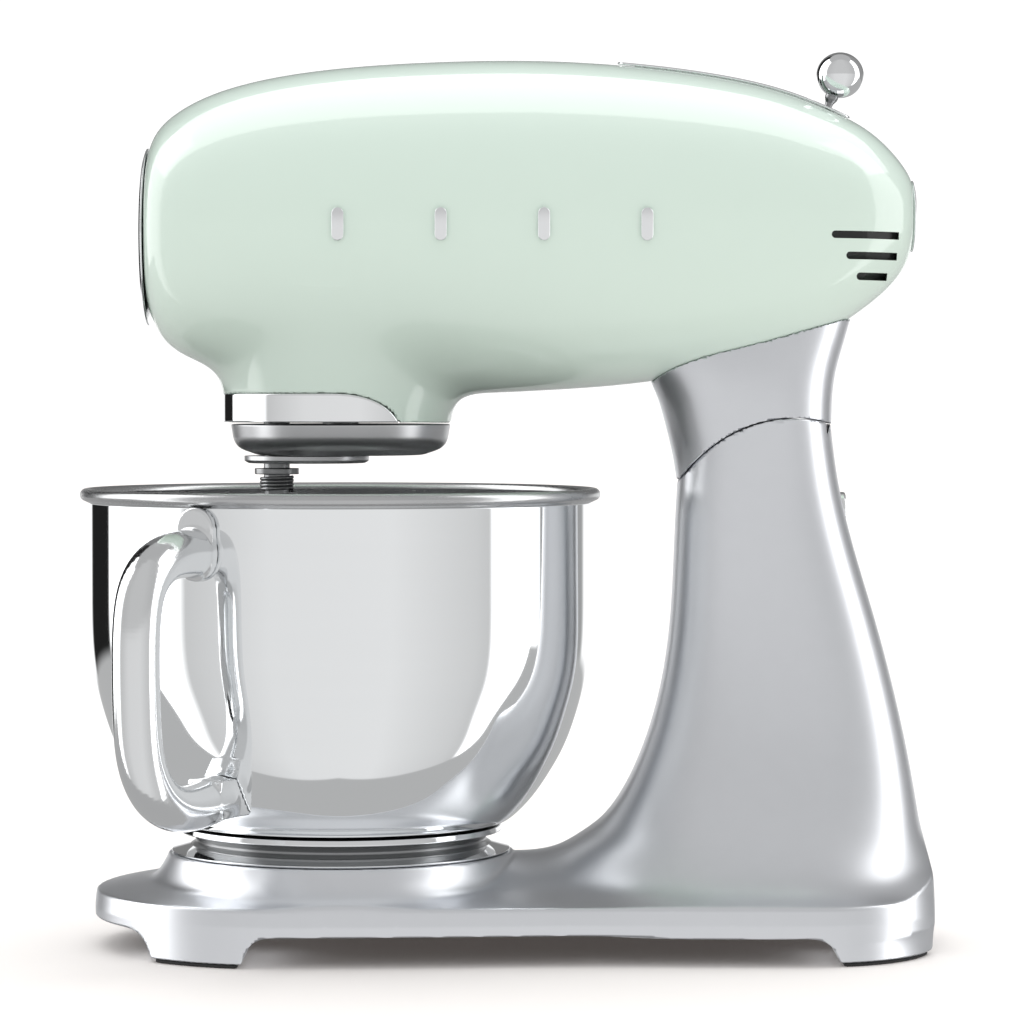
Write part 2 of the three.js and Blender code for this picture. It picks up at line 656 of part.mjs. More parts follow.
function leverArm() {
  const [footX, footZ] = onTrack(CARRIAGE[1] - 2, LEVER_ANGLE);
  const reach = Math.hypot(KNOB_X - footX, KNOB_Z - footZ);
  const stem = rod(2.1, 0, reach - KNOB_R - GAP, SMALL_ROUND);
  stem.rotateY(Math.atan2(KNOB_X - footX, KNOB_Z - footZ)).translate(footX, 0, footZ);
  return join(trackStrip(...CARRIAGE, LEVER_ANGLE - 2, LEVER_ANGLE + 1.6, 7), solid(stem));
}

add(speedLever, "speed_lever", leverArm(), CHROME);
add(speedLever, "lever_knob", new THREE.SphereGeometry(KNOB_R, 18, 12).translate(KNOB_X, 0, KNOB_Z), CHROME);

// ---------------------------------------------------------------- gear case and planetary drive
const CASE_R = HUB_BORE_R - GAP - 1.8;
const CASE_FLOOR = 243;
const LOWER_BEARING = [245, 252];
const UPPER_BEARING = [268, 275];

function gearCase() {
  const profile = [
    [42.3 - 0.4, 229.2], [CASE_R, 229.2], [CASE_R, 254], [BEARING_R + 3.5, 257], [BEARING_R + 3.5, 276.5],
    [BEARING_R + GAP, 276.5], [BEARING_R + GAP, LOWER_BEARING[0] - GAP], [12, LOWER_BEARING[0] - GAP],
    [12, CASE_FLOOR], [41.9, CASE_FLOOR],
  ];
  return turnedRing(profile, BIG_ROUND);
}

function ringGear() {
  const pitchR = (RING_MODULE * RING_TEETH) / 2;
  const play = TOOTH_PLAY / (RING_MODULE * Math.PI);
  const space = gearOutline(RING_TEETH, pitchR - 1.05, pitchR + 1.85, 0.345 + play, 0.135 + play);
  return prism(circle(41.55, BIG_ROUND), 229.6, 238.6, [space]);
}

function circle(radius, count) {
  return Array.from({ length: count }, (_, i) => {
    const angle = (2 * Math.PI * i) / count;
    return [radius * Math.cos(angle), radius * Math.sin(angle)];
  });
}

function planetPinion() {
  const pitchR = (RING_MODULE * PLANET_TEETH) / 2;
  const play = TOOTH_PLAY / (RING_MODULE * Math.PI);
  const outline = gearOutline(PLANET_TEETH, pitchR - 1.7, pitchR + 1.25, 0.33 - play, 0.13 - play);
  return solid(prism(outline, 230, 238.2));
}

// A crown gear's teeth are wedges round the rim that point up.
function crownGear() {
  const pitch = 360 / CROWN_TEETH;
  const rootZ = CROWN_PITCH_Z - 1.25 * DRIVE_MODULE;
  const disc = solid(tube(MAIN_SHAFT_R + GAP, CROWN_R + 4.5, rootZ - 6, rootZ, BIG_ROUND));
  const teeth = [];
  for (let i = 0; i < CROWN_TEETH; i += 1) {
    const rings = [CROWN_R - 5, CROWN_R + 4].map((radius) => {
      const rootHalf = 0.25 * pitch + 0.5;
      const tipHalf = 0.25 * pitch - 1.35;
      return [[-rootHalf, rootZ - 1], [rootHalf, rootZ - 1], [tipHalf, rootZ + 4.2], [-tipHalf, rootZ + 4.2]]
        .map(([offset, z]) => {
          const angle = radians((i + 0.5) * pitch + offset * (CROWN_R / radius));
          return new THREE.Vector3(radius * Math.cos(angle), radius * Math.sin(angle), z);
        });
    });
    teeth.push(solid(loft(rings)));
  }
  return join(disc, ...teeth);
}

// A spur pinion on a horizontal shaft, driven by or driving the crown gear.
function drivePinion(x0, x1) {
  const pitchR = (DRIVE_MODULE * DRIVE_TEETH) / 2;
  const outline = gearOutline(DRIVE_TEETH, pitchR - 2.4, pitchR + 1.7, 0.33, 0.1);
  return solid(alongX(prism(outline, x0, x1)));
}

const planetary = new THREE.Group();
const shaftGroup = new THREE.Group();
shaftGroup.position.x = -PLANET_OFFSET;
planetary.add(shaftGroup);
head.add(planetary);

add(head, "gear_case", gearCase(), CAST);
add(head, "ring_gear", ringGear(), STEEL);
for (const [name, [low, high]] of [["lower", LOWER_BEARING], ["upper", UPPER_BEARING]]) {
  add(head, `${name}_bearing`, tube(MAIN_SHAFT_R + GAP, BEARING_R, low, high), STEEL);
}

const DISH_TOP = 227.4;
const DISH_BOTTOM = 213.8;
const BOSS_X = -14.9;

function planetaryDish() {
  const form = solid(turned([
    [0, DISH_BOTTOM], [40, DISH_BOTTOM], [46, DISH_BOTTOM + 2.4], [48, DISH_BOTTOM + 6.5],
    [48, DISH_TOP], [45, DISH_TOP], [44, DISH_BOTTOM + 6], [12.5, DISH_BOTTOM + 5],
    [12.5, DISH_TOP], [0, DISH_TOP],
  ], BIG_ROUND));
  const shaftHole = solid(rod(SHAFT_R + GAP, 200, 240).translate(-PLANET_OFFSET, 0, 0));
  const mainHole = solid(rod(MAIN_SHAFT_R + GAP, 217, 240));
  return cut(form, shaftHole, mainHole);
}

function shaftBoss() {
  const disc = solid(turned([
    [0, 210.3], [25.6, 210.3], [27.3, 211.4], [27.3, DISH_BOTTOM - GAP], [0, DISH_BOTTOM - GAP],
  ], ROUND).translate(BOSS_X, 0, 0));
  return cut(disc, solid(rod(SHAFT_R + GAP, 200, 240).translate(-PLANET_OFFSET, 0, 0)));
}

add(planetary, "main_shaft", rod(MAIN_SHAFT_R, 217.4, 293.5), STEEL);
add(planetary, "crown_gear", crownGear(), STEEL);
add(planetary, "planetary_dish", planetaryDish(), DARK_METAL);
add(planetary, "shaft_boss", shaftBoss(), DARK_METAL);

// ---------------------------------------------------------------- attachment shaft
const SHAFT_TOP = 240.5;
const SHAFT_END = 168;
const CUP_TOP = 197;
const SPRING_TOP = 205;
const SPRING_TURNS = 4;
const DRIVE_PIN_Z = 178;

function attachmentShaft() {
  const shaft = turned([
    [0, SHAFT_END], [SHAFT_R - 1.4, SHAFT_END], [SHAFT_R, SHAFT_END + 1.6], [SHAFT_R, SPRING_TOP + 0.4],
    [9.7, SPRING_TOP + 0.4], [9.7, SPRING_TOP + 2.6], [SHAFT_R, SPRING_TOP + 2.6], [SHAFT_R, 229],
    [SHAFT_R - 1.2, 229], [SHAFT_R - 1.2, SHAFT_TOP], [0, SHAFT_TOP],
  ], SMALL_ROUND);
  const pinHole = alongX(rod(2 + GAP, -12, 12, TINY_ROUND), 0, DRIVE_PIN_Z);
  return cut(solid(shaft), solid(pinHole));
}

function cupSpring() {
  const turns = SPRING_TURNS;
  const wire = 0.75;
  const low = CUP_TOP + wire + 0.4;
  const high = SPRING_TOP - wire - 0.1;
  const route = new THREE.Curve();
  route.getPoint = (t, target = new THREE.Vector3()) => {
    const angle = 2 * Math.PI * turns * t;
    return target.set(6.75 * Math.cos(angle), 6.75 * Math.sin(angle), low + (high - low) * t);
  };
  const section = new THREE.Shape(circle(wire, 6).map(([x, y]) => new THREE.Vector2(x, y)));
  return new THREE.ExtrudeGeometry(section, { steps: 10 * turns, extrudePath: route });
}

add(shaftGroup, "attachment_shaft", attachmentShaft(), STEEL);
add(shaftGroup, "planet_pinion", cut(planetPinion(), solid(rod(SHAFT_R - 1.2 + GAP, 220, 250))), STEEL);
add(shaftGroup, "drive_pin", alongX(rod(2, -9.6, 9.6, TINY_ROUND), 0, DRIVE_PIN_Z), STEEL);
add(shaftGroup, "cup_spring", cupSpring(), STEEL);
add(shaftGroup, "spring_cup", turnedRing([
  [SHAFT_R + GAP, CUP_TOP - 9], [7.4, CUP_TOP - 9], [8.2, CUP_TOP - 4],
  [9.3, CUP_TOP - 0.8], [9.3, CUP_TOP], [SHAFT_R + GAP, CUP_TOP],
], SMALL_ROUND), DARK_METAL);

// ---------------------------------------------------------------- motor
const MOTOR = { front: 88, rear: 150, outerR: 40, boreR: 26.5 };
const MOTOR_SHAFT_R = 5;
const MOTOR_BEARINGS = [[62, 70], [184, 192]];
const MOTOR_BEARING_R = 13;
const FAN_BLADES = 8;

function motorChassis() {
  const cavity = headForm(HEAD_WALL + GAP);
  const floorPlate = cut(cavity, headForm(HEAD_WALL + GAP).translate([0, 0, 4]))
    .intersect(solid(box(58, 206, -30, 30, 235, 275)));
  const walls = MOTOR_BEARINGS.map(([x0, x1]) => (
    solid(box(x0, x1, -20, 20, 236, HEAD_AXIS_Z + 19)).intersect(cavity)
  ));
  const cradle = solid(box(104, 134, -26, 26, 236, 296)).intersect(cavity);
  const bores = MOTOR_BEARINGS.map(([x0, x1]) => solid(alongX(rod(MOTOR_BEARING_R + GAP, x0 - 1, x1 + 1))));
  const motorSpace = solid(alongX(rod(MOTOR.outerR + GAP, MOTOR.front - 4, MOTOR.rear + 4, ROUND)));
  return cut(join(floorPlate, cradle, ...walls), motorSpace, ...bores);
}

const rotor = new THREE.Group();
const power = new THREE.Group();
head.add(rotor, power);

add(head, "motor_chassis", motorChassis(), CAST);
add(head, "motor_stator", alongX(tube(MOTOR.boreR, MOTOR.outerR, MOTOR.front, MOTOR.rear, ROUND)), STEEL);
for (const [i, name] of ["front", "rear"].entries()) {
  const [x0, x1] = MOTOR_BEARINGS[i];
  add(head, `motor_bearing_${name}`, alongX(tube(MOTOR_SHAFT_R + GAP, MOTOR_BEARING_R, x0, x1)), STEEL);
}
add(head, "brush_ring", alongX(tube(17, 27, 162, 170)), BLACK_PLASTIC);
add(head, "control_board", box(60, 84, -34, 34, 352, 354), BOARD);
add(head, "speed_track", trackStrip(TRACK_R - 17, TRACK_R - 13.5, 2, 25.5, 8), BLACK_PLASTIC);

add(rotor, "motor_shaft", join(
  solid(alongX(rod(MOTOR_SHAFT_R, 30, 196))),
  drivePinion(CROWN_R - 4.5, CROWN_R + 4),
), STEEL);
add(rotor, "motor_armature", alongX(turnedRing([
  [MOTOR_SHAFT_R + GAP, 90], [25.6, 90], [25.6, 148], [12, 150], [12, 176], [MOTOR_SHAFT_R + GAP, 176],
], SMALL_ROUND)), COPPER);
add(rotor, "cooling_fan", coolingFan(), BLACK_PLASTIC);

function coolingFan() {
  const hub = solid(alongX(tube(MOTOR_SHAFT_R + GAP, 10, 74, 84)));
  const plate = solid(alongX(tube(MOTOR_SHAFT_R + GAP, 32, 82, 84)));
  const blades = [];
  for (let i = 0; i < FAN_BLADES; i += 1) {
    const blade = box(74.5, 83, -0.9, 0.9, 8, 31).rotateX((2 * Math.PI * i) / FAN_BLADES);
    blades.push(solid(blade.translate(0, 0, HEAD_AXIS_Z)));
  }
  return join(hub, plate, ...blades);
}

// ---------------------------------------------------------------- front power hub
const POWER_X = -82;

add(head, "power_housing", alongX(turnedRing([
  [17.5, POWER_X + 4], [22, POWER_X + 4], [22, -52], [18, -50], [11.6, -50], [11.6, -56], [17.5, -56],
], SMALL_ROUND)), CAST);
add(power, "power_shaft", cut(
  join(solid(alongX(turned([
    [0, POWER_X + 4], [16.7, POWER_X + 4], [16.7, -57], [11, -57], [11, -46], [6, -46], [6, -28], [0, -28],
  ], SMALL_ROUND))), drivePinion(-CROWN_R - 4, -CROWN_R + 4.5)),
  solid(box(POWER_X, -60, -5.6, 5.6, HEAD_AXIS_Z - 5.6, HEAD_AXIS_Z + 5.6)),
), STEEL);
add(power, "power_cover", alongX(turned([
  [0, -87.3], [20, -86.8], [36, -85], [38.5, -84.1], [38.5, -83.4], [0, -83.4],
], BIG_ROUND)), CHROME);

// ---------------------------------------------------------------- bowl
function bowlShell() {
  const outside = [
    [65, BOWL_FLOOR], [71.5, 53.4], [78.5, 59], [84.7, 65.4], [91.3, 75], [97, 85],
    [103.4, 101.5], [107.6, 117.5], [BOWL_R, 137],
  ];
  const inside = outside.map(([r, z], i) => {
    const lean = Math.min(1, i / 6);
    return [r - BOWL_SHEET * lean, z + BOWL_SHEET * (1 - lean) * 1.15];
  });
  const rim = [[BOWL_R, 193.6], [112.9, 194.5], [113.7, 197], [112.6, 199.4], [BOWL_R - BOWL_SHEET, 199]];
  const floor = [0, BOWL_FLOOR + BOWL_SHEET];
  return turned([[0, BOWL_FLOOR], ...outside, ...rim, ...inside.reverse(), floor], BIG_ROUND);
}

function footRing() {
  const skirt = solid(turnedRing([
    [66, PEDESTAL_TOP + GAP], [74, PEDESTAL_TOP + GAP], [74.3, 41.6], [65.2, 44], [63, 46],
    [65.4, 48], [70.4, 49.6], [70.2, BOWL_FLOOR - GAP], [57.5, BOWL_FLOOR - GAP], [61.3, 49.6], [61.3, 44.5],
  ], BIG_ROUND));
  const lugs = [0, 1, 2].map((i) => {
    const middle = HANDLE_ANGLE + 120 * i;
    return solid(sector(57.2, 67, 41.3, 43.7, middle - LUG_HALF_ANGLE, middle + LUG_HALF_ANGLE));
  });
  return join(skirt, ...lugs);
}

// The handle, drawn in the plane Y = 0 at +X and turned to its place at the end.
function bowlHandle() {
  const route = new THREE.CatmullRomCurve3([
    [114, 174.5], [124, 174.5], [138, 171.5], [149, 162.5], [153.8, 148], [154.6, 130], [154, 110],
    [150.5, 91], [141.5, 77.5], [128, 70.6], [114, 69.5], [96, 71.5],
  ].map(([r, z]) => new THREE.Vector3(r, 0, z)));
  const section = new THREE.Shape(circle(HANDLE_R, 10).map(([x, y]) => new THREE.Vector2(x, y)));
  const bar = solid(new THREE.ExtrudeGeometry(section, { steps: 18, extrudePath: route }));
  const wallSpace = solid(turned([
    [0, 40], [71.5 + GAP, 40], [78.5 + GAP, 59 - GAP], [84.7 + GAP, 65.4 - GAP], [91.3 + GAP, 75 - GAP],
    [97 + GAP, 85 - GAP], [103.4 + GAP, 101.5], [107.6 + GAP, 117.5], [BOWL_R + GAP, 137],
    [BOWL_R + GAP, 193], [118, 193.2], [118, 204], [0, 204],
  ], BIG_ROUND));
  const plateShape = new THREE.Shape();
  plateShape.absarc(0, 184.5, 9.3, 0, Math.PI);
  plateShape.absarc(0, 172, 9.3, Math.PI, 2 * Math.PI);
  const plate = solid(slab(plateShape, 105, 114.5, 6).rotateZ(-Math.PI / 2));
  const tab = solid(box(80, 108, -8.5, 8.5, 64, 80));
  const ring = turned([[0, 60], [88.5, 60], [98, 72], [103.4, 80], [0, 80]], BIG_ROUND);
  const joined = cut(join(bar, plate, tab.intersect(solid(ring))), wallSpace);
  const turnedGeometry = geometryOf(joined).rotateZ(radians(HANDLE_ANGLE));
  return solid(turnedGeometry);
}

add(bowl, "bowl_shell", bowlShell(), MIRROR_STEEL);
add(bowl, "foot_ring", footRing(), CHROME);
add(bowl, "bowl_handle", bowlHandle(), CHROME);

// ---------------------------------------------------------------- origin: centre of the box, on the counter
const bounds = new THREE.Box3().setFromObject(mixer, true);
const middle = bounds.getCenter(new THREE.Vector3());
mixer.position.set(-middle.x, -middle.y, -bounds.min.z);
mixer.updateMatrixWorld(true);

export default mixer;
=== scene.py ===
"""Looks of a tilt-head stand mixer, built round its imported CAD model.

Shapes are described in millimetres about the bowl axis, as the CAD model's are, and moved to the row
frame in metres as each mesh is made. Castings are described by fields: a function of x, y, z that is
negative inside the piece, zero on its surface and positive outside.
"""

import json
import math

import bmesh
import bpy
import numpy as np
import openvdb
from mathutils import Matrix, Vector

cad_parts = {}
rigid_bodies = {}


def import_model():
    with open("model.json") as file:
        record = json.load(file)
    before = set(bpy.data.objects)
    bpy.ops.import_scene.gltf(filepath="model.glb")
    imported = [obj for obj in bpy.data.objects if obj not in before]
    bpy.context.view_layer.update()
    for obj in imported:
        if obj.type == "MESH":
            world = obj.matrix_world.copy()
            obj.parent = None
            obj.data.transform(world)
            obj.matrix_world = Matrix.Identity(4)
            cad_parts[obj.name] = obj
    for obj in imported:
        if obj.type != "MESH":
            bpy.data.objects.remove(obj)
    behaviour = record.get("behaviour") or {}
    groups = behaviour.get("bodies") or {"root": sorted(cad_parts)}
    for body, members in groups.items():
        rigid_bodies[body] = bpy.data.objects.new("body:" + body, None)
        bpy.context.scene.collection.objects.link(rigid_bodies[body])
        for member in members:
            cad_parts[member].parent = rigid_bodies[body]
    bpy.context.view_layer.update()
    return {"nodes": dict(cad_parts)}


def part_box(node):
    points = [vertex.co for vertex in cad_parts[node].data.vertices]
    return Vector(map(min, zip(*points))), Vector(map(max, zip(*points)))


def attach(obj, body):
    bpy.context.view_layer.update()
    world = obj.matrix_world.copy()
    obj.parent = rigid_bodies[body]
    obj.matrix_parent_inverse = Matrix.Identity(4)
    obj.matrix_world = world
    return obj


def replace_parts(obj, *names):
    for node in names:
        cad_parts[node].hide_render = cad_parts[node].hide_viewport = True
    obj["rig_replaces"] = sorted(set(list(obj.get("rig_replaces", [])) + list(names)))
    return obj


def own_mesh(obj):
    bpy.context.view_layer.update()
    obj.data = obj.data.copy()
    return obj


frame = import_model()

# ------------------------------------------------------------------ driving dimensions, millimetres
# Spacing of the grids that pieces are meshed on.
STEP = 1.3  # large castings
HANDLE_STEP = 0.9
FINE_STEP = 0.5  # thin plates and rings
PAD_STEP = 0.8
LEVER_STEP = 0.5
TRIM_STEP = 0.4

HEAD_AXIS_Z = 309
HUB_X = -1.5
HUB_R = 49.5
HUB_BORE_R = 45
HUB_BOTTOM = 228.2
HUB_BORE_TOP = 262
COLLAR_TOP = 240.7
SKIRT_TOP = 275  # inside the head
SKIRT_BLEND = 20
NOSE_X = -83
TAIL_X = 249.2
HEAD_ROUNDNESS = 2.25
COLUMN_ROUNDNESS = 2.6

PIVOT_X = 196.5  # the head's hinge
PIVOT_Z = 172.9
DOME_R = 56.95
DOME_CLEARANCE = 0.35
SPLIT_GAP = 0.3
HEAD_GAP = 0.2
NECK_REAR = (215.5, 227)  # x and z of the corner that the neck's rear stops at
# About the hinge: inner and outer radius, first and last angle in degrees, and half width.
ARM_SLOT = (36, 80, 73.2, 135, 18)
ARM = (0, 66, 111, 132, 16)
ARM_EYE_R = 13.5

BASE_NOSE_R = 88
BASE_NOSE_CENTRE_X = -19.6
BASE_CORNER_R = 58
BASE_CORNER_X = 200
BASE_CORNER_Y = 24
SKIRT_BOTTOM = 13.4
DECK_EDGE = 24.9
DECK_CROWN = 5.5
DECK_SLOPE = 22
WAIST_X = 112
WAIST_DEPTH = 4
WAIST_SPREAD = 62
PEDESTAL_FOOT = 22
PEDESTAL_TOP = 40.5
PEDESTAL_R = 75.2
RIDGE_TOP = 39.3
COLUMN_BLEND = 22
FOOT_HEIGHT = 1.6
SEAT_WELL_R = 60
SEAT_WELL_FLOOR = 37.5
RELEASE_Z = 190
CORD_Z = 23

BOWL_R = 109.8
BOWL_SHEET = 1.2
BOWL_FLOOR = 52.4
RIM_R = 111
RIM_Z = 196.7
RIM_BEAD_R = 2.7
RIM_SHADE_ABOVE = 0.1935  # metres: the rim all round is brush-finished, with a darker colour as painted shade
INSIDE_SHADE_ABOVE = 0.0535  # metres: and so is the inside, with its flat bottom
FOOT_PAINTED_SHADE_R = 0.0672  # metres: within this radius the foot ring is painted dark, as painted shade in its groove
HANDLE_R = 9.8
HANDLE_ANGLE = math.radians(240)
PLANET_X = -28  # the attachment shaft
BOSS_X = -14.9

TRACK_X = 118  # centre that the speed lever swings round
TRACK_Z = 151
TRACK_R = 233.6
TRACK_LEANS = (2.7, 24.8)  # degrees from vertical at the ends of the lever's slot
LEVER_LEAN = 24
SHOE_R = TRACK_R - 10.1
SHOE_LEANS = (22, 25.6)
STEM_R = 1.7
STEM_COLLAR_R = 2.9
KNOB = (218.3, 379.6)  # x and z
KNOB_R = 10.3
KNOB_FLATNESS = 0.97

shaft_low, shaft_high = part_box("main_shaft")
BOWL_AXIS = np.array([(shaft_low.x + shaft_high.x) / 2, (shaft_low.y + shaft_high.y) / 2, 0])


def to_frame(points):
    """Points in millimetres about the bowl axis, as metres in the row frame."""
    return np.asarray(points, float) * 0.001 + BOWL_AXIS


# ------------------------------------------------------------------ curves and fields
def spline(points, count=400):
    """A smooth curve (natural cubic, by chord length) through the points."""
    points = np.asarray(points, float)
    gaps = np.linalg.norm(np.diff(points, axis=0), axis=1)
    knots = np.concatenate([[0], np.cumsum(gaps)])
    n = len(points)
    matrix = np.eye(n)
    right = np.zeros_like(points)
    for i in range(1, n - 1):
        matrix[i, i - 1:i + 2] = gaps[i - 1], 2 * (gaps[i - 1] + gaps[i]), gaps[i]
        ahead = (points[i + 1] - points[i]) / gaps[i]
        behind = (points[i] - points[i - 1]) / gaps[i - 1]
        right[i] = 6 * (ahead - behind)
    bend = np.linalg.solve(matrix, right)
    t = np.linspace(0, knots[-1], count)
    k = np.clip(np.searchsorted(knots, t, side="right") - 1, 0, n - 2)
    a = ((knots[k + 1] - t) / gaps[k])[:, None]
    b = 1 - a
    width = gaps[k][:, None]
    curving = ((a**3 - a) * bend[k] + (b**3 - b) * bend[k + 1]) * width**2 / 6
    return a * points[k] + b * points[k + 1] + curving


def graph(points):
    """The spline through the points as a function from the first coordinate to the others."""
    line = spline(points)
    line = line[np.argsort(line[:, 0])]
    return lambda u: [np.interp(u, line[:, 0], line[:, i]) for i in range(1, line.shape[1])]


def union(a, b, blend=0.0):
    """Both forms together, with a soft fillet whose size the blend sets."""
    if blend == 0:
        return np.minimum(a, b)
    h = np.maximum(blend - np.abs(a - b), 0) / blend
    return np.minimum(a, b) - h**3 * blend / 6


def overlap(a, b, blend=0.0):
    """What two forms share, with its edge rounded."""
    return -union(-a, -b, blend)


def without(a, b, blend=0.0):
    """The first form with the second cut from it."""
    return overlap(a, -b, blend)


def squarish(u, v, half_u, half_v, exponent):
    """A squarish ellipse across one axis."""
    s = (np.abs(u / half_u) ** exponent + np.abs(v / half_v) ** exponent) ** (1 / exponent)
    return (s - 1) * np.minimum(half_u, half_v)


# Head outline from nose to tail: the top line, the bottom line and the half width.
HEAD_TOP = graph([
    (-83, 346), (-80, 353.2), (-76.2, 358.2), (-70.9, 362.6), (-60, 368.8), (-40, 375.6), (-10, 381),
    (40, 384.8), (90, 385.3), (130, 382.8), (165, 378.2), (193, 371.8), (213, 364.3), (229, 356),
    (240, 346.5), (247, 337.5), (249.2, 333.8),
])
HEAD_BOTTOM = graph([
    (-83, 276), (-80.5, 270.4), (-77, 264.4), (-70.9, 259), (-60, 254), (-42, 248.6), (-10, 243),
    (40, 240.4), (90, 242), (130, 245.2), (163, 250.5), (190, 257), (210, 265.5), (226, 275.8),
    (238, 285.5), (246, 295.5), (249, 302.2),
])
HEAD_HALF_WIDTH = graph([
    (-83, 38), (-80, 44), (-76, 48.5), (-70.9, 51.8), (-60, 56), (-40, 60), (-10, 62.5),
    (40, 64), (90, 64.5), (130, 62.5), (165, 58.5), (192, 53), (212, 46.5), (228, 39),
    (239, 30.5), (246.5, 22), (249.2, 16),
])


def head_form(x, y, z):
    """The head without its skirt: squarish across X, cut off flat at the nose and tail."""
    top = HEAD_TOP(x)[0]
    bottom = HEAD_BOTTOM(x)[0]
    width = HEAD_HALF_WIDTH(x)[0]
    body = squarish(y, z - (top + bottom) / 2, width, (top - bottom) / 2, HEAD_ROUNDNESS)
    body = overlap(body, NOSE_X - x, 3)
    return overlap(body, x - TAIL_X, 3)


def bezier(a, b, c, d, count=60):
    """A curve from a to d that leaves toward b and arrives from c."""
    t = np.linspace(0, 1, count)[:, None]
    a, b, c, d = (np.array(p, float) for p in (a, b, c, d))
    return (1 - t) ** 3 * a + 3 * (1 - t) ** 2 * t * b + 3 * (1 - t) * t * t * c + t**3 * d


# The edge between the chrome collar and the painted skirt, as x and z.
COLLAR_EDGE = bezier((0, 0), (14, 0), (25, -4), (29, -14.5)) + (HUB_X, COLLAR_TOP)


def collar_edge(x):
    """Height of the collar's upper edge at x."""
    return np.interp(x, COLLAR_EDGE[:, 0], COLLAR_EDGE[:, 1])


def head_and_skirt(x, y, z):
    """The painted head with the round skirt that hangs over the drive, and the skirt's bore."""
    ring = np.hypot(x - HUB_X, y)
    skirt = overlap(ring - HUB_R, np.maximum(collar_edge(x) + SPLIT_GAP, HUB_BOTTOM) - z, 1.0)
    skirt = overlap(skirt, z - SKIRT_TOP)
    whole = union(head_form(x, y, z), skirt, SKIRT_BLEND)
    return without(whole, overlap(ring - HUB_BORE_R, z - HUB_BORE_TOP), 0.8)


def collar(x, y, z):
    """The chrome ring under the skirt, which stands 0.4 mm proud of it."""
    ring = np.hypot(x - HUB_X, y)
    middle = (HUB_R + HUB_BORE_R + 0.6) / 2
    half_thickness = (HUB_R - HUB_BORE_R + 0.2) / 2
    band = overlap(np.abs(ring - middle) - half_thickness, HUB_BOTTOM - z, 1.2)
    return overlap(band, z - collar_edge(x), 1.2)


def base_plan(x, y):
    """Distance outside the base's plan outline: round nose, slightly waisted sides, rear corners."""
    lean = math.atan2(BASE_CORNER_Y, BASE_CORNER_X - BASE_NOSE_CENTRE_X)
    reach = math.hypot(BASE_CORNER_Y, BASE_CORNER_X - BASE_NOSE_CENTRE_X)
    side = lean + math.acos((BASE_NOSE_R - BASE_CORNER_R) / reach)
    across = np.abs(y)
    circles = (
        (BASE_NOSE_CENTRE_X, 0, BASE_NOSE_R, side, math.pi),
        (BASE_CORNER_X, BASE_CORNER_Y, BASE_CORNER_R, 0, side),
    )
    distances = []
    for centre_x, centre_y, radius, first, last in circles:
        angle = np.clip(np.arctan2(across - centre_y, x - centre_x), first, last)
        distances.append((x - centre_x) * np.cos(angle) + (across - centre_y) * np.sin(angle) - radius)
    waist = WAIST_DEPTH * np.exp(-(((x - WAIST_X) / WAIST_SPREAD) ** 2))
    return np.maximum(*distances) + waist


# The column and the neck, stacked up in Z: front x, rear x and half width at each height.
COLUMN = graph([
    (24, 88, 256.6, 74), (38, 98, 255.6, 64), (45.3, 104.5, 254.8, 58.5), (52.8, 113, 253.6, 53.5),
    (65, 122.5, 251.6, 47.5), (83, 131.3, 248.4, 42), (112, 140, 242, 37.5), (144, 144.5, 233.4, 34.8),
    (172, 146, 225, 33.6), (203, 147.6, 217.6, 33), (232, 150, 213.8, 33),
])
NECK = graph([
    (198, 147.8, 214, 33), (214, 145.4, 214.2, 33), (227, 142.3, 214.5, 33), (238, 139.2, 214.8, 33.2),
    (250, 134, 216.3, 33), (263, 129, 219.8, 32), (285, 122, 226, 30),
])


def upright(rows, x, y, z):
    """A form stacked up in Z from rows of front x, rear x and half width."""
    front, rear, half_width = rows(z)
    return squarish(x - (front + rear) / 2, y, (rear - front) / 2, half_width, COLUMN_ROUNDNESS)


# Legs: x at the front and rear of each foot.
LEGS = ((-77, -39), (213.5, 262))
LEG_INNER_Y = 38
LEG_SPREAD = 0.35  # how far a leg widens for each millimetre up
LEG_FILLET = 13


def skirt_side(x, y, z):
    """The base's outer side, with its draft."""
    return base_plan(x, y) + np.interp(z, [0, 18, 24, 27], [0.6, 0, 0.6, 1.0])


def leg_space(x, y, z):
    """Negative where the legs stand, at any height."""
    spread = LEG_SPREAD * np.clip(z, 0, SKIRT_BOTTOM)
    result = None
    for front, rear in LEGS:
        space = overlap(front - spread - x, x - rear - spread, 4)
        space = overlap(space, LEG_INNER_Y - spread - np.abs(y), 4)
        result = space if result is None else union(result, space)
    return result


def underside(x, y, z):
    """Negative above the bottom of the skirt and of the legs."""
    foot = overlap(leg_space(x, y, z), FOOT_HEIGHT + SPLIT_GAP - z, 0.8)
    return union(SKIRT_BOTTOM - z, foot, LEG_FILLET)


def plate(x, y, z):
    """The base: a near-vertical skirt, a crowned deck, the bowl's pedestal and a ridge to the column."""
    plan = base_plan(x, y)
    inset = np.maximum(-plan, 0)
    deck = DECK_EDGE + DECK_CROWN * (1 - np.exp((1 - inset) / DECK_SLOPE))
    ring = np.hypot(x, y)
    pedestal_rise = PEDESTAL_TOP - PEDESTAL_FOOT
    pedestal = PEDESTAL_FOOT + pedestal_rise * np.exp(np.minimum(PEDESTAL_R - ring, 30) / 8)
    ridge = RIDGE_TOP - 14 * (y / 62) ** 2 - np.maximum(30 - x, 0)
    rise = overlap(overlap(deck, ridge, 5), pedestal, 4)  # of heights, the highest
    top = overlap(z - rise, z - PEDESTAL_TOP, 1.5)
    form = overlap(skirt_side(x, y, z), top, 1.8)
    return overlap(form, underside(x, y, z), 0.8)


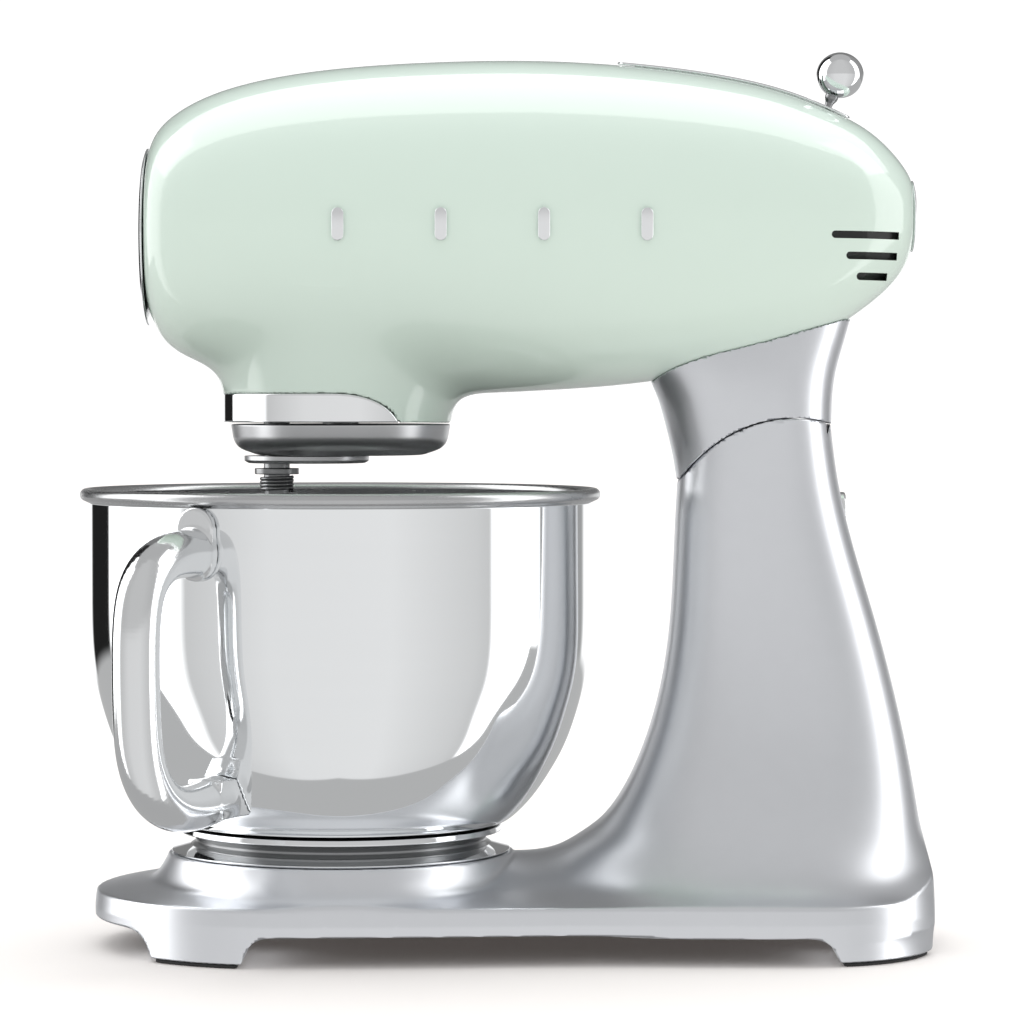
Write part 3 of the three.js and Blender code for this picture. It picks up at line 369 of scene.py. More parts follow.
def pivot_wedge(x, y, z, inner, outer, first, last, half_width):
    """Part of a ring about the head's hinge, between two radii and two angles in degrees from +X."""
    reach = np.hypot(x - PIVOT_X, z - PIVOT_Z)
    angle = np.degrees(np.arctan2(z - PIVOT_Z, x - PIVOT_X))
    swing = np.radians(np.maximum(first - angle, angle - last)) * reach
    limits = np.broadcast_arrays(swing, np.abs(y) - half_width, inner - reach, reach - outer)
    return np.maximum.reduce(limits)


def along_x(x, y, z, radius, height, start):
    """A round hole along X, from start to the rear."""
    return np.maximum(np.hypot(y, z - height) - radius, start - x)


def stand(x, y, z):
    """The whole casting: base, legs and column, with its openings."""
    column = upright(COLUMN, x, y, z)
    # Its top is a dome about the hinge, so that the neck can tilt over it.
    dome = np.where(z > PIVOT_Z, np.hypot(x - PIVOT_X, z - PIVOT_Z) - DOME_R, x * 0 - 30)
    column = overlap(column, dome, 0.5)
    column = overlap(column, 20 - z)
    form = union(plate(x, y, z), column, COLUMN_BLEND)
    form = overlap(form, x - COLUMN(np.maximum(z, 27))[1], 1.5)
    seat_well = np.maximum(np.hypot(x, y) - SEAT_WELL_R, SEAT_WELL_FLOOR - z)
    form = without(form, seat_well, 0.6)
    form = without(form, pivot_wedge(x, y, z, *ARM_SLOT), 0.6)
    form = without(form, along_x(x, y, z, 8, RELEASE_Z, 205), 0.6)
    form = without(form, along_x(x, y, z, 5.6, CORD_Z, 240), 0.4)
    # The base is open underneath, between its skirt and its legs.
    hollow = np.maximum(np.maximum(base_plan(x, y) + 9, z - 14), 4 - leg_space(x, y, z))
    return without(form, hollow, 0.6)


def neck(x, y, z):
    """The casting between the head and the column, with the arm that reaches down to the hinge."""
    reach = np.hypot(x - PIVOT_X, z - PIVOT_Z)
    form = upright(NECK, x, y, z)
    form = overlap(form, DOME_R + DOME_CLEARANCE - reach, 0.4)
    form = without(form, overlap(NECK_REAR[0] - x, z - NECK_REAR[1]), 0.6)
    form = overlap(form, HEAD_GAP - head_form(x, y, z), 0.4)
    form = overlap(form, 190 - z)
    eye = np.maximum(reach - ARM_EYE_R, np.abs(y) - 17)
    arm = union(pivot_wedge(x, y, z, *ARM), eye, 3)
    return union(form, arm, 1)


# The line down the middle of the handle's bar, as radius and height.
HANDLE_ROUTE = spline([
    (111, 174.5), (124, 174.5), (138, 171.5), (149, 162.5), (153.5, 148), (154.3, 130), (153.7, 110),
    (150.5, 91), (141.5, 77.5), (128, 70.6), (114, 69.5), (98, 71.5),
], 90)


def handle(r, t, z):
    """The bowl's handle in its own plane: r from the bowl axis, t across, z up."""
    best = None
    for point, following in zip(HANDLE_ROUTE[:-1], HANDLE_ROUTE[1:]):
        dr, dz = following - point
        share = np.clip(((r - point[0]) * dr + (z - point[1]) * dz) / (dr * dr + dz * dz), 0, 1)
        distance = (r - point[0] - share * dr) ** 2 + (z - point[1] - share * dz) ** 2
        best = distance if best is None else np.minimum(best, distance)
    bar = np.sqrt(best + t * t) - HANDLE_R
    bracket = np.hypot(t, np.maximum(np.abs(z - 178.2) - 6.2, 0)) - 9.3
    bracket = overlap(bracket, r - 113.2, 2)
    tab = np.maximum(np.abs(t) - 8.5, np.abs(z - 72) - 8)
    tab = overlap(tab, r - 106, 2)
    form = union(union(bar, bracket, 3), tab, 3)
    wall = np.interp(z, *BOWL_WALL.T[::-1])
    return overlap(form, wall + 0.35 - np.hypot(r, t), 0.8)


# The bowl's outside as radius and height, up to where its wall is upright.
BOWL_OUTSIDE = np.array([
    (65, BOWL_FLOOR), (71.5, 53.6), (78.5, 58.6), (84.7, 65.4), (91.3, 75), (97, 85), (103.4, 101.5),
    (107.6, 117.5), (109.5, 135), (BOWL_R, 150),
])
# The same outline carried below the bowl and out under its rim, for the handle to stop at.
BOWL_WALL = np.vstack([
    (20, 40), (60, 52), spline(BOWL_OUTSIDE, 80),
    (BOWL_R, 193.2), (BOWL_R, 193.4), (118, 193.8),
])


# ------------------------------------------------------------------ mesh makers
def slope(field, points, size=0.02):
    """The field's gradient at each point."""
    columns = []
    for axis in range(3):
        ahead = points.copy()
        behind = points.copy()
        ahead[:, axis] += size
        behind[:, axis] -= size
        columns.append((field(*ahead.T) - field(*behind.T)) / (2 * size))
    return np.stack(columns, 1)


def make_object(name, points, faces, normals, material, body, replaced):
    """A smooth-shaded piece from points in millimetres, riding on a body in place of CAD nodes."""
    mesh = bpy.data.meshes.new(name)
    mesh.from_pydata(to_frame(points).tolist(), [], [list(map(int, face)) for face in faces])
    mesh.polygons.foreach_set("use_smooth", [True] * len(mesh.polygons))
    mesh.update()
    mesh.normals_split_custom_set_from_vertices(normals.tolist())
    obj = bpy.data.objects.new(name, mesh)
    bpy.context.scene.collection.objects.link(obj)
    obj.data.materials.append(material)
    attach(obj, body)
    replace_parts(obj, *replaced)
    return obj


def from_field(name, field, box, step, material, body, replaced, cutters=()):
    """A closed mesh on the surface where the field is zero, with the field's own normals."""
    starts = np.array(box[0], float) - 2 * step
    counts = np.ceil((np.array(box[1]) + 2 * step - starts) / step).astype(int)
    x, y, z = (start + step * np.arange(count) for start, count in zip(starts, counts))
    values = field(x[:, None, None], y[None, :, None], z[None, None, :])
    values = np.clip(np.broadcast_to(values, counts), -3 * step, 3 * step)
    grid = openvdb.FloatGrid(3 * step)
    grid.copyFromArray(np.ascontiguousarray(values, np.float32))
    points, quads = grid.convertToQuads(isovalue=0)
    points = points.astype(float) * step + starts
    for _ in range(3):  # moves the points onto the surface
        gradient = slope(field, points)
        size = np.maximum((gradient**2).sum(1), 1e-4)
        move = gradient * (field(*points.T) / size)[:, None]
        length = np.linalg.norm(move, axis=1, keepdims=True)
        points -= move * np.minimum(1, 0.6 * step / np.maximum(length, 1e-9))
    a, b, c = (points[quads[:, i]] for i in range(3))
    facing = (np.cross(b - a, c - a) * slope(field, a)).sum()
    if facing < 0:
        quads = quads[:, ::-1]
    gradient = slope(field, points)
    normals = gradient / np.maximum(np.linalg.norm(gradient, axis=1, keepdims=True), 1e-9)
    obj = make_object(name, points, quads, normals, material, body, replaced)
    if cutters:
        cut_openings(obj, field, cutters)
    return obj


def cut_openings(obj, field, cutters):
    """Cuts the cutters from the object, and gives the rest of its surface the field's normals again."""
    for cutter in cutters:
        modifier = obj.modifiers.new("cut", "BOOLEAN")
        modifier.operation = "DIFFERENCE"
        modifier.solver = "EXACT"
        modifier.object = cutter
    bpy.context.view_layer.update()
    depsgraph = bpy.context.evaluated_depsgraph_get()
    mesh = bpy.data.meshes.new_from_object(obj.evaluated_get(depsgraph))
    obj.modifiers.clear()
    obj.data = mesh
    for cutter in cutters:
        bpy.data.objects.remove(cutter)
    points = np.array([v.co for v in mesh.vertices])
    gradient = slope(field, (points - BOWL_AXIS) * 1000)
    gradient /= np.maximum(np.linalg.norm(gradient, axis=1, keepdims=True), 1e-9)
    normals = []
    for face in mesh.polygons:
        flat = np.array(face.normal)
        for vertex in face.vertices:
            on_surface = gradient[vertex] @ flat > 0.85  # else the face is a wall of the cut
            normals.append(gradient[vertex] if on_surface else flat)
    mesh.normals_split_custom_set([tuple(n) for n in normals])


def prism_object(name, outline, y0, y1):
    """An outline of (x, z) points, anticlockwise, given depth in Y, to cut with."""
    count = len(outline)
    points = [(x, y, z) for y in (y1, y0) for x, z in outline]
    faces = [tuple(range(count))[::-1], tuple(range(count, 2 * count))]
    faces += [(i, (i + 1) % count, count + (i + 1) % count, count + i) for i in range(count)]
    mesh = bpy.data.meshes.new(name)
    mesh.from_pydata(to_frame(points).tolist(), [], faces)
    obj = bpy.data.objects.new(name, mesh)
    bpy.context.scene.collection.objects.link(obj)
    return obj


def rounded(outline, closed, steps=5):
    """Rounds the corners of an outline of (radius, height, corner radius): gives points and normals."""
    outline = [tuple(p) + ((0.5,) if len(p) == 2 else ()) for p in outline]
    points, normals = [], []
    count = len(outline)
    for i, (r, z, size) in enumerate(outline):
        here = np.array([r, z], float)
        if not closed and i in (0, count - 1):
            other = np.array(outline[1 if i == 0 else count - 2][:2], float)
            along = (other - here if i == 0 else here - other)
            along /= np.linalg.norm(along)
            points.append(here)
            normals.append(np.array([along[1], -along[0]]))
            continue
        back = np.array(outline[i - 1][:2], float) - here
        on = np.array(outline[(i + 1) % count][:2], float) - here
        back_length, on_length = np.linalg.norm(back), np.linalg.norm(on)
        back /= back_length
        on /= on_length
        half = 0.5 * math.acos(np.clip(back @ on, -1, 1))
        if half > math.radians(88):  # nearly straight on
            points.append(here)
            normals.append(np.array([on[1], -on[0]]))
            continue
        setback = min(size / math.tan(half), 0.48 * back_length, 0.48 * on_length)
        start, end = here + back * setback, here + on * setback
        first = np.array([-back[1], back[0]])
        last = np.array([on[1], -on[0]])
        for step in range(steps + 1):
            t = step / steps
            mixed = first * (1 - t) + last * t
            normals.append(mixed / np.linalg.norm(mixed))
            points.append((1 - t) ** 2 * start + 2 * t * (1 - t) * here + t * t * end)
    return np.array(points), np.array(normals)


def lathe(name, outline, material, body, replaced, centre=(0, 0, 0), axis="Z", closed=False,
          segments=128, smooth=None):
    """Turns an outline of (radius, height) points about an axis through centre.

    A smooth outline, given as points and their normals, is turned as it is, without rounding corners.
    """
    if smooth is None:
        area = sum(a[0] * b[1] - b[0] * a[1] for a, b in zip(outline, outline[1:] + outline[:1]))
        points, normals = rounded(outline if area > 0 else outline[::-1], closed)
    else:
        points, normals = smooth
    angles = np.linspace(0, 2 * math.pi, segments, endpoint=False)
    cos, sin = np.cos(angles)[:, None], np.sin(angles)[:, None]

    def spin(pairs):
        r, h = pairs[:, 0][None, :], pairs[:, 1][None, :]
        turned = np.stack([r * cos, r * sin, h + 0 * cos], 2).reshape(-1, 3)
        if axis == "X":
            turned = turned[:, [2, 1, 0]] * (1, 1, -1)
        return turned

    rows = len(points)
    faces = []
    last_row = rows if closed else rows - 1
    for i in range(segments):
        ahead = (i + 1) % segments
        for k in range(last_row):
            following = (k + 1) % rows
            faces.append((i * rows + k, ahead * rows + k, ahead * rows + following, i * rows + following))
    vertices = spin(points) + np.array(centre, float)
    obj = make_object(name, vertices, faces, spin(normals), material, body, replaced)
    weld(obj)
    return obj


def weld(obj):
    """Joins the points that fall together on the axis and drops faces with no area."""
    data = bmesh.new()
    data.from_mesh(obj.data)
    bmesh.ops.remove_doubles(data, verts=data.verts, dist=1e-7)
    bmesh.ops.dissolve_degenerate(data, edges=data.edges, dist=1e-8)
    data.to_mesh(obj.data)
    data.free()


# ------------------------------------------------------------------ materials
def surface(name, slot, colour, metallic=0.0, roughness=0.4, spread=0.03, grain=900.0, mottle=0.03,
            bump=0.0, bump_scale=1500.0, coat=0.0, coat_roughness=0.03, stretch=(1, 1, 1)):
    """A finish with fine unevenness: roughness and colour vary a little, and a bump may be added."""
    material = bpy.data.materials.new(name)
    material.use_nodes = True
    material["slot"] = slot
    nodes, links = material.node_tree.nodes, material.node_tree.links
    shader = nodes["Principled BSDF"]
    shader.inputs["Metallic"].default_value = metallic
    shader.inputs["Coat Weight"].default_value = coat
    shader.inputs["Coat Roughness"].default_value = coat_roughness
    place_of = nodes.new("ShaderNodeTexCoord")
    mapping = nodes.new("ShaderNodeMapping")
    mapping.inputs["Scale"].default_value = stretch
    links.new(place_of.outputs["Object"], mapping.inputs["Vector"])
    noise = nodes.new("ShaderNodeTexNoise")
    noise.inputs["Scale"].default_value = grain
    noise.inputs["Detail"].default_value = 3
    links.new(mapping.outputs["Vector"], noise.inputs["Vector"])
    rough = nodes.new("ShaderNodeMapRange")
    rough.inputs["To Min"].default_value = max(0.0, roughness - spread)
    rough.inputs["To Max"].default_value = roughness + spread
    links.new(noise.outputs["Fac"], rough.inputs["Value"])
    links.new(rough.outputs["Result"], shader.inputs["Roughness"])
    broad = nodes.new("ShaderNodeTexNoise")
    broad.inputs["Scale"].default_value = grain / 12
    broad.inputs["Detail"].default_value = 2
    links.new(mapping.outputs["Vector"], broad.inputs["Vector"])
    mix = nodes.new("ShaderNodeMix")
    mix.data_type = "RGBA"
    mix.inputs["A"].default_value = (*[c * (1 - mottle) for c in colour], 1)
    mix.inputs["B"].default_value = (*[min(1, c * (1 + mottle)) for c in colour], 1)
    links.new(broad.outputs["Fac"], mix.inputs["Factor"])
    links.new(mix.outputs["Result"], shader.inputs["Base Color"])
    if bump:
        relief = nodes.new("ShaderNodeTexNoise")
        relief.inputs["Scale"].default_value = bump_scale
        relief.inputs["Detail"].default_value = 2
        links.new(mapping.outputs["Vector"], relief.inputs["Vector"])
        raised = nodes.new("ShaderNodeBump")
        raised.inputs["Strength"].default_value = bump
        raised.inputs["Distance"].default_value = 0.0002
        links.new(relief.outputs["Fac"], raised.inputs["Height"])
        links.new(raised.outputs["Normal"], shader.inputs["Normal"])
    return material


MINT = surface(
    "mint_enamel", "mint_paint", (0.635, 0.765, 0.685), roughness=0.42,
    spread=0.02, mottle=0.006, grain=300, coat=1.0, coat_roughness=0.02,
)
SATIN = surface(
    "satin_silver_paint", "satin_silver", (0.78, 0.795, 0.825), metallic=1.0,
    roughness=0.34, spread=0.02, grain=1400, mottle=0.015, bump=0.02, bump_scale=2500,
)
CHROME = surface(
    "polished_chrome", "chrome", (0.86, 0.87, 0.88), metallic=1.0,
    roughness=0.05, spread=0.015, grain=200, mottle=0.01,
)
SOFT_CHROME = surface(
    "soft_chrome", "chrome", (0.80, 0.81, 0.82), metallic=1.0,
    roughness=0.13, spread=0.02, grain=200, mottle=0.01,
)
STEEL_MIRROR = surface(
    "mirror_steel", "mirror_steel", (0.90, 0.915, 0.925), metallic=1.0,
    roughness=0.045, spread=0.012, grain=150, mottle=0.008, stretch=(1, 1, 12),
)
DARK = surface(
    "dark_satin_metal", "dark_metal", (0.30, 0.305, 0.31), metallic=1.0,
    roughness=0.30, spread=0.015, grain=300, mottle=0.015,
)
PAN_METAL = surface(
    "pan_metal", "dark_metal", (0.57, 0.575, 0.585), metallic=1.0,
    roughness=0.33, spread=0.015, grain=300, mottle=0.015,
)
# Brush-finished steel for the bowl's inside and rim; its colour, darker than the polished outside's, is
# painted shade.
SHADED_BRUSHED_STEEL = surface(
    "brushed_steel_painted_shade", "mirror_steel", (0.55, 0.555, 0.56), metallic=1.0,
    roughness=0.27, spread=0.012, grain=60, mottle=0.015, stretch=(1, 1, 10),
)
STEEL = surface(
    "turned_steel", "steel", (0.55, 0.555, 0.56), metallic=1.0,
    roughness=0.25, spread=0.06, grain=700, mottle=0.05, stretch=(1, 1, 6),
)
CAST = surface(
    "cast_aluminium", "cast_aluminium", (0.48, 0.485, 0.49), metallic=1.0,
    roughness=0.5, spread=0.07, grain=900, mottle=0.08, bump=0.2,
)
PLASTIC = surface(
    "black_plastic", "black_plastic", (0.012, 0.012, 0.013), roughness=0.45,
    spread=0.05, grain=800, mottle=0.1, bump=0.05,
)
RUBBER = surface(
    "dark_rubber", "rubber", (0.03, 0.03, 0.031), roughness=0.8,
    spread=0.06, grain=1200, mottle=0.12, bump=0.15,
)
WINDING = surface(
    "copper_winding", "winding", (0.42, 0.16, 0.06), metallic=1.0,
    roughness=0.35, spread=0.06, grain=1500, mottle=0.15, bump=0.4, stretch=(1, 8, 8),
)
BOARD = surface(
    "circuit_board", "board", (0.03, 0.11, 0.05), roughness=0.5,
    spread=0.06, grain=600, mottle=0.15,
)


# ------------------------------------------------------------------ stand and neck
def make_stand():
    box = ((-109, -90, 2), (263, 90, 232))
    from_field("stand_body", stand, box, STEP, SATIN, "stand", ["stand_casting"])


def make_feet():
    """A rubber pad under each leg."""
    pads = (
        ("foot_front_left", 0, -1), ("foot_front_right", 0, 1),
        ("foot_rear_left", 1, -1), ("foot_rear_right", 1, 1),
    )
    for name, row, side in pads:
        front, rear = LEGS[row]

        def pad(x, y, z):
            block = overlap(base_plan(x, y) + 2.0, overlap(front + 1 - x, x - rear + 1, 4), 3)
            block = overlap(block, LEG_INNER_Y + 1 - y * side, 4)
            return overlap(block, overlap(-z, z - FOOT_HEIGHT), 0.8)

        y_range = (-90, -30) if side < 0 else (30, 90)
        box = ((front - 3, y_range[0], 0), (rear + 3, y_range[1], 4))
        from_field(name + "_pad", pad, box, PAD_STEP, RUBBER, "stand", [name])


def make_stand_details():
    """The tilt release button and the bushing that the cord would go in by."""
    button = [
        (0, 221), (7.6, 221, 1.2), (7.6, 213.8, 0.3), (9.4, 213.8, 0.3), (9.4, 212, 0.3), (0, 212),
    ]
    lathe("release_cap", button, CHROME, "release", ["release_button"],
          centre=(0, 0, RELEASE_Z), axis="X", segments=64)
    ring = [
        (3.2, 248), (3.2, 259.6, 0.4), (6.6, 259.6, 0.5), (7, 258.4, 0.3), (5.2, 258.4, 0.3), (5.2, 248),
    ]
    lathe("cord_bushing", ring, RUBBER, "stand", ["cord_inlet"],
          centre=(0, 0, CORD_Z), axis="X", closed=True, segments=48)


def make_neck():
    box = ((118, -35, 155), (232, 35, 290))
    from_field("neck_body", neck, box, STEP * 0.8, SATIN, "head", ["neck_casting"])


# ------------------------------------------------------------------ head
VENTS = ((211, 241.5, 308.4), (217.6, 241, 299.6), (222.6, 237, 290.9))  # front x, rear x, height
VENT_HALF = 1.6
TRIM_X = (1.5, 45, 88.5, 132)
TRIM_Z = 312
TRIM_R = 2.6
TRIM_HALF = 4.4
REAR_DISC_Z = 318
PLATE_GAP = 0.3
PLATE_TOP = 1.3


def vent_cutter(x0, x1, z):
    """A bar through the whole head, with a round front end."""
    angles = np.radians(np.linspace(90, 270, 9))
    outline = [(x0 + VENT_HALF + VENT_HALF * math.cos(a), z + VENT_HALF * math.sin(a)) for a in angles]
    outline += [(x1, z - VENT_HALF), (x1, z + VENT_HALF)]
    return prism_object("vent_cutter", outline, -80, 80)


def track_arc(radius, leans):
    """Points on an arc about the centre that the speed lever swings round."""
    return [(TRACK_X + radius * math.sin(lean), TRACK_Z + radius * math.cos(lean)) for lean in leans]


def track_cutter():
    """The curved slot that the speed lever moves in."""
    leans = np.radians(np.linspace(*TRACK_LEANS, 12))
    outline = track_arc(TRACK_R + 14, leans) + track_arc(TRACK_R - 16, leans[::-1])
    return prism_object("track_cutter", outline[::-1], -3, 3)


def make_head():
    cutters = [vent_cutter(*vent) for vent in VENTS] + [track_cutter()]
    box = ((-84, -66, 227), (250, 66, 387))
    from_field("head_body", head_and_skirt, box, STEP, MINT, "head", ["head_shell"], cutters)
    box = ((-52, -51, 227), (30, 51, 242))
    from_field("collar_band", collar, box, FINE_STEP, CHROME, "head", ["hub_collar"])


def over_head(outline, inner, outer):
    """A field for a thin piece between two heights above the head, inside an outline field."""
    def field(x, y, z):
        height = head_form(x, y, z)
        return overlap(overlap(height - outer, inner - height, 0.4), outline(x, y, z), 0.7)
    return field


def plate_outline(x, y, z):
    """The speed plate seen from above, with its slot."""
    reach = np.hypot(x - TRACK_X, z - TRACK_Z)
    lean = np.degrees(np.arctan2(x - TRACK_X, z - TRACK_Z))
    swing = np.radians(np.maximum(TRACK_LEANS[0] - lean, lean - TRACK_LEANS[1])) * reach
    slot = overlap(swing, np.abs(y) - 2.8, 2)
    body = overlap(np.abs(x - 171.6) - 50.6, np.abs(y) - 11, 9)
    return without(body, slot, 0.4)


def make_ornaments():
    """Four plain upright pills on each side of the head."""
    for name, low_y, high_y in (("left", -68, -50), ("right", 50, 68)):
        for i, x0 in enumerate(TRIM_X):
            def pill(x, y, z, x0=x0):
                return np.hypot(x - x0, np.maximum(np.abs(z - TRIM_Z) - TRIM_HALF, 0)) - TRIM_R
            box = ((x0 - 4, low_y, TRIM_Z - 9), (x0 + 4, high_y, TRIM_Z + 9))
            from_field(f"trim_bar_{name}_{i + 1}", over_head(pill, 0.2, 1.5), box, TRIM_STEP, CHROME,
                       "head", [f"trim_{name}_{i + 1}"])


def make_head_trim():
    box = ((120, -12, 352), (223, 12, 388))
    plate_field = over_head(plate_outline, PLATE_GAP, PLATE_TOP)
    from_field("speed_track_plate", plate_field, box, FINE_STEP, CHROME, "head", ["speed_plate"])
    make_ornaments()
    disc = [
        (0, 251.2), (9, 251, 2), (13, 250.7, 0.8), (15.8, 249.9, 0.5), (15, 249.1, 0.2), (0, 249),
    ]
    lathe("rear_cap", disc, CHROME, "head", ["rear_disc"], centre=(0, 0, REAR_DISC_Z), axis="X")
    cover = [
        (0, -83.4), (38.5, -83.4, 0.2), (38.6, -84.1, 0.3), (36, -85, 1.5), (20, -86.8, 8), (0, -87.3),
    ]
    lathe("front_cap", cover, CHROME, "hub_cover", ["power_cover"], centre=(0, 0, HEAD_AXIS_Z), axis="X")


def make_lever():
    """The speed lever: a shoe in the slot, a thin stem with a collar, and a ball."""
    foot = np.array(track_arc(SHOE_R, [math.radians(LEVER_LEAN)])[0])
    knob = np.array(KNOB)
    length = np.linalg.norm(knob - foot)
    along = (knob - foot) / length

    def stem(x, y, z):
        out_x, out_z = x - foot[0], z - foot[1]
        share = np.clip(out_x * along[0] + out_z * along[1], 0, length - 9)
        rod = np.sqrt((out_x - share * along[0]) ** 2 + y**2 + (out_z - share * along[1]) ** 2) - STEM_R
        middle = knob - 10.2 * along
        ring = np.sqrt((x - middle[0]) ** 2 + y**2 + (z - middle[1]) ** 2) - STEM_COLLAR_R
        reach = np.hypot(x - TRACK_X, z - TRACK_Z)
        lean = np.degrees(np.arctan2(x - TRACK_X, z - TRACK_Z))
        swing = np.radians(np.maximum(SHOE_LEANS[0] - lean, lean - SHOE_LEANS[1])) * reach
        shoe = overlap(np.maximum(np.abs(y) - 7, np.abs(reach - SHOE_R) - 2.5), swing, 0.5)
        return union(union(rod, ring, 1.5), shoe, 1)

    box = ((198, -8, 350), (222, 8, 382))
    from_field("lever_stem", stem, box, LEVER_STEP, DARK, "lever", ["speed_lever"])
    turns = np.radians(np.linspace(-90, 90, 49))
    profile = np.stack([KNOB_R * np.cos(turns), KNOB_R * KNOB_FLATNESS * np.sin(turns)], 1)
    normals = profile / np.linalg.norm(profile, axis=1, keepdims=True)
    profile[0, 0] = profile[-1, 0] = 0
    lathe("lever_ball", None, CHROME, "lever", ["lever_knob"],
          centre=(KNOB[0], 0, KNOB[1]), smooth=(profile, normals), segments=96)


# ------------------------------------------------------------------ planetary drive and attachment shaft
def make_drive():
    """The planetary dish, the boss that carries the attachment shaft, and the parts on the shaft."""
    dish = [
        (0, 213.8), (36, 213.8, 12), (46.4, 217.4, 12), (48, 227.4, 0.8), (45, 227.4, 0.5),
        (44, 219.8, 1), (12.5, 218.8, 0.5), (12.5, 227.4, 0.5), (8.4, 227.4, 0.3), (8.4, 219, 0.3),
        (0, 218.6),
    ]
    lathe("planetary_pan", dish, PAN_METAL, "planetary", ["planetary_dish"])
    boss = [(0, 210.3), (25.4, 210.3, 1.2), (27.3, 211.4, 0.6), (27.3, 213.5, 0.2), (0, 213.5)]
    lathe("pan_boss", boss, PAN_METAL, "planetary", ["shaft_boss"], centre=(BOSS_X, 0, 0))
    shaft = [
        (0, 168), (5.7, 168, 1.4), (5.7, 205.4, 0.3), (9.7, 205.4, 0.4), (9.7, 208, 0.4),
        (5.7, 208, 0.3), (5.7, 229, 0.2), (4.5, 229, 0.2), (4.5, 240.5, 0.2), (0, 240.5),
    ]
    lathe("beater_shaft", shaft, DARK, "attachment", ["attachment_shaft"],
          centre=(PLANET_X, 0, 0), segments=64)
    pin = [(0, -9.6), (2, -9.6, 0.5), (2, 9.6, 0.5), (0, 9.6)]
    lathe("beater_pin", pin, STEEL, "attachment", ["drive_pin"],
          centre=(PLANET_X, 0, 178), axis="X", segments=32)
    cup = [
        (6, 188, 0.2), (7.4, 188, 0.4), (8.2, 193, 0.8), (9.3, 196.2, 0.4), (9.3, 197, 0.2), (6, 197, 0.2),
    ]
    lathe("shaft_cup", cup, DARK, "cup", ["spring_cup"], centre=(PLANET_X, 0, 0), closed=True, segments=64)
    make_spring()


def make_spring():
    """A helix of round wire between the washer and the cup."""
    turns, wire, radius = 4, 0.75, 6.75
    low_z, high_z = 198.15, 204.15
    count, sides = 48 * turns, 10
    points, normals, faces = [], [], []
    for i in range(count + 1):
        angle = 2 * math.pi * turns * i / count
        height = low_z + (high_z - low_z) * i / count
        for k in range(sides):
            turn = 2 * math.pi * k / sides
            outward = math.cos(turn)
            upward = math.sin(turn)
            out = radius + wire * outward
            x, y = out * math.cos(angle), out * math.sin(angle)
            points.append((PLANET_X + x, y, height + wire * upward))
            normals.append((outward * math.cos(angle), outward * math.sin(angle), upward))
    for i in range(count):
        here, there = i * sides, (i + 1) * sides
        for k in range(sides):
            after = (k + 1) % sides
            faces.append((here + k, there + k, there + after, here + after))
    faces.append(tuple(range(sides)))
    faces.append(tuple(range(count * sides, (count + 1) * sides))[::-1])
    normals = np.array(normals)
    spring = make_object("shaft_spring", points, faces, normals, DARK, "attachment", ["cup_spring"])
    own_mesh(spring)


# ------------------------------------------------------------------ bowl
def curve_profile(points):
    """Points along a smooth outline, solid side on the left, with the normals that point to its right."""
    points = np.asarray(points, float)
    along = np.gradient(points, axis=0)
    along /= np.linalg.norm(along, axis=1, keepdims=True)
    return points, np.stack([along[:, 1], -along[:, 0]], 1)


def make_bowl():
    """The bowl's sheet with its rolled rim: polished outside; the inside and the rim brush-finished, with
    painted shade in a darker colour.
    """
    outside = spline(BOWL_OUTSIDE, 70)
    inside = spline(BOWL_OUTSIDE + (-BOWL_SHEET, BOWL_SHEET * 0.6), 70)[::-1]
    turn = np.radians(np.linspace(-75, 200, 24))
    bead = np.stack([RIM_R + RIM_BEAD_R * np.cos(turn), RIM_Z + RIM_BEAD_R * np.sin(turn)], 1)
    heights = (165, 180, 192.4, 192.8, 193.2)
    outer_wall = [(BOWL_R, height) for height in heights]
    inner_wall = [(BOWL_R - BOWL_SHEET, height) for height in heights[::-1]]
    under = [(radius, BOWL_FLOOR) for radius in (0, 30, 55)]
    floor = [(radius, BOWL_FLOOR + BOWL_SHEET) for radius in (55, 30, 0)]
    line = np.vstack([under, outside, outer_wall, bead, inner_wall, inside, floor])
    bowl = lathe("bowl_wall", None, STEEL_MIRROR, "bowl", ["bowl_shell"],
                 smooth=curve_profile(line), segments=256)
    # The inside and the rim take the darker steel: a brush finish with painted shade.
    bowl.data.materials.append(SHADED_BRUSHED_STEEL)
    for face in bowl.data.polygons:
        inward = (face.center - Vector(BOWL_AXIS)).to_2d() @ face.normal.to_2d() <= 0
        rim = face.center.z > RIM_SHADE_ABOVE
        shaded_brushed = rim or (inward and face.center.z > INSIDE_SHADE_ABOVE)
        face.material_index = 1 if shaded_brushed else 0


def make_bowl_foot():
    """The ring under the bowl: chrome flanges above and below a groove painted dark, as painted shade."""
    foot = [
        (61.3, 44.5, 1), (61.3, 41.3, 0.3), (66, PEDESTAL_TOP + 0.3, 0.4), (73.4, PEDESTAL_TOP + 0.3, 0.4),
        (74.3, 41.6, 0.5), (65.4, 44, 1.6), (63, 46, 1.4), (65.2, 48.2, 1.6), (70.6, 49.8, 0.6),
        (70.2, 52.1, 0.4), (57.5, 52.1, 0.4), (61.3, 49.6, 0.8),
    ]
    ring = lathe("bowl_foot", foot, CHROME, "bowl", ["foot_ring"], closed=True, segments=192)
    # The groove's faces take the dark metal: painted shade where the groove lies in shadow.
    ring.data.materials.append(DARK)
    for face in ring.data.polygons:
        reach = (face.center - Vector(BOWL_AXIS)).to_2d().length
        face.material_index = 1 if reach < FOOT_PAINTED_SHADE_R else 0


def make_handle():
    cos, sin = math.cos(HANDLE_ANGLE), math.sin(HANDLE_ANGLE)

    def turned(x, y, z):
        return handle(x * cos + y * sin, -x * sin + y * cos, z)

    box = ((-84, -146, 58), (-36, -60, 194))
    from_field("bowl_grip", turned, box, HANDLE_STEP, SOFT_CHROME, "bowl", ["bowl_handle"])


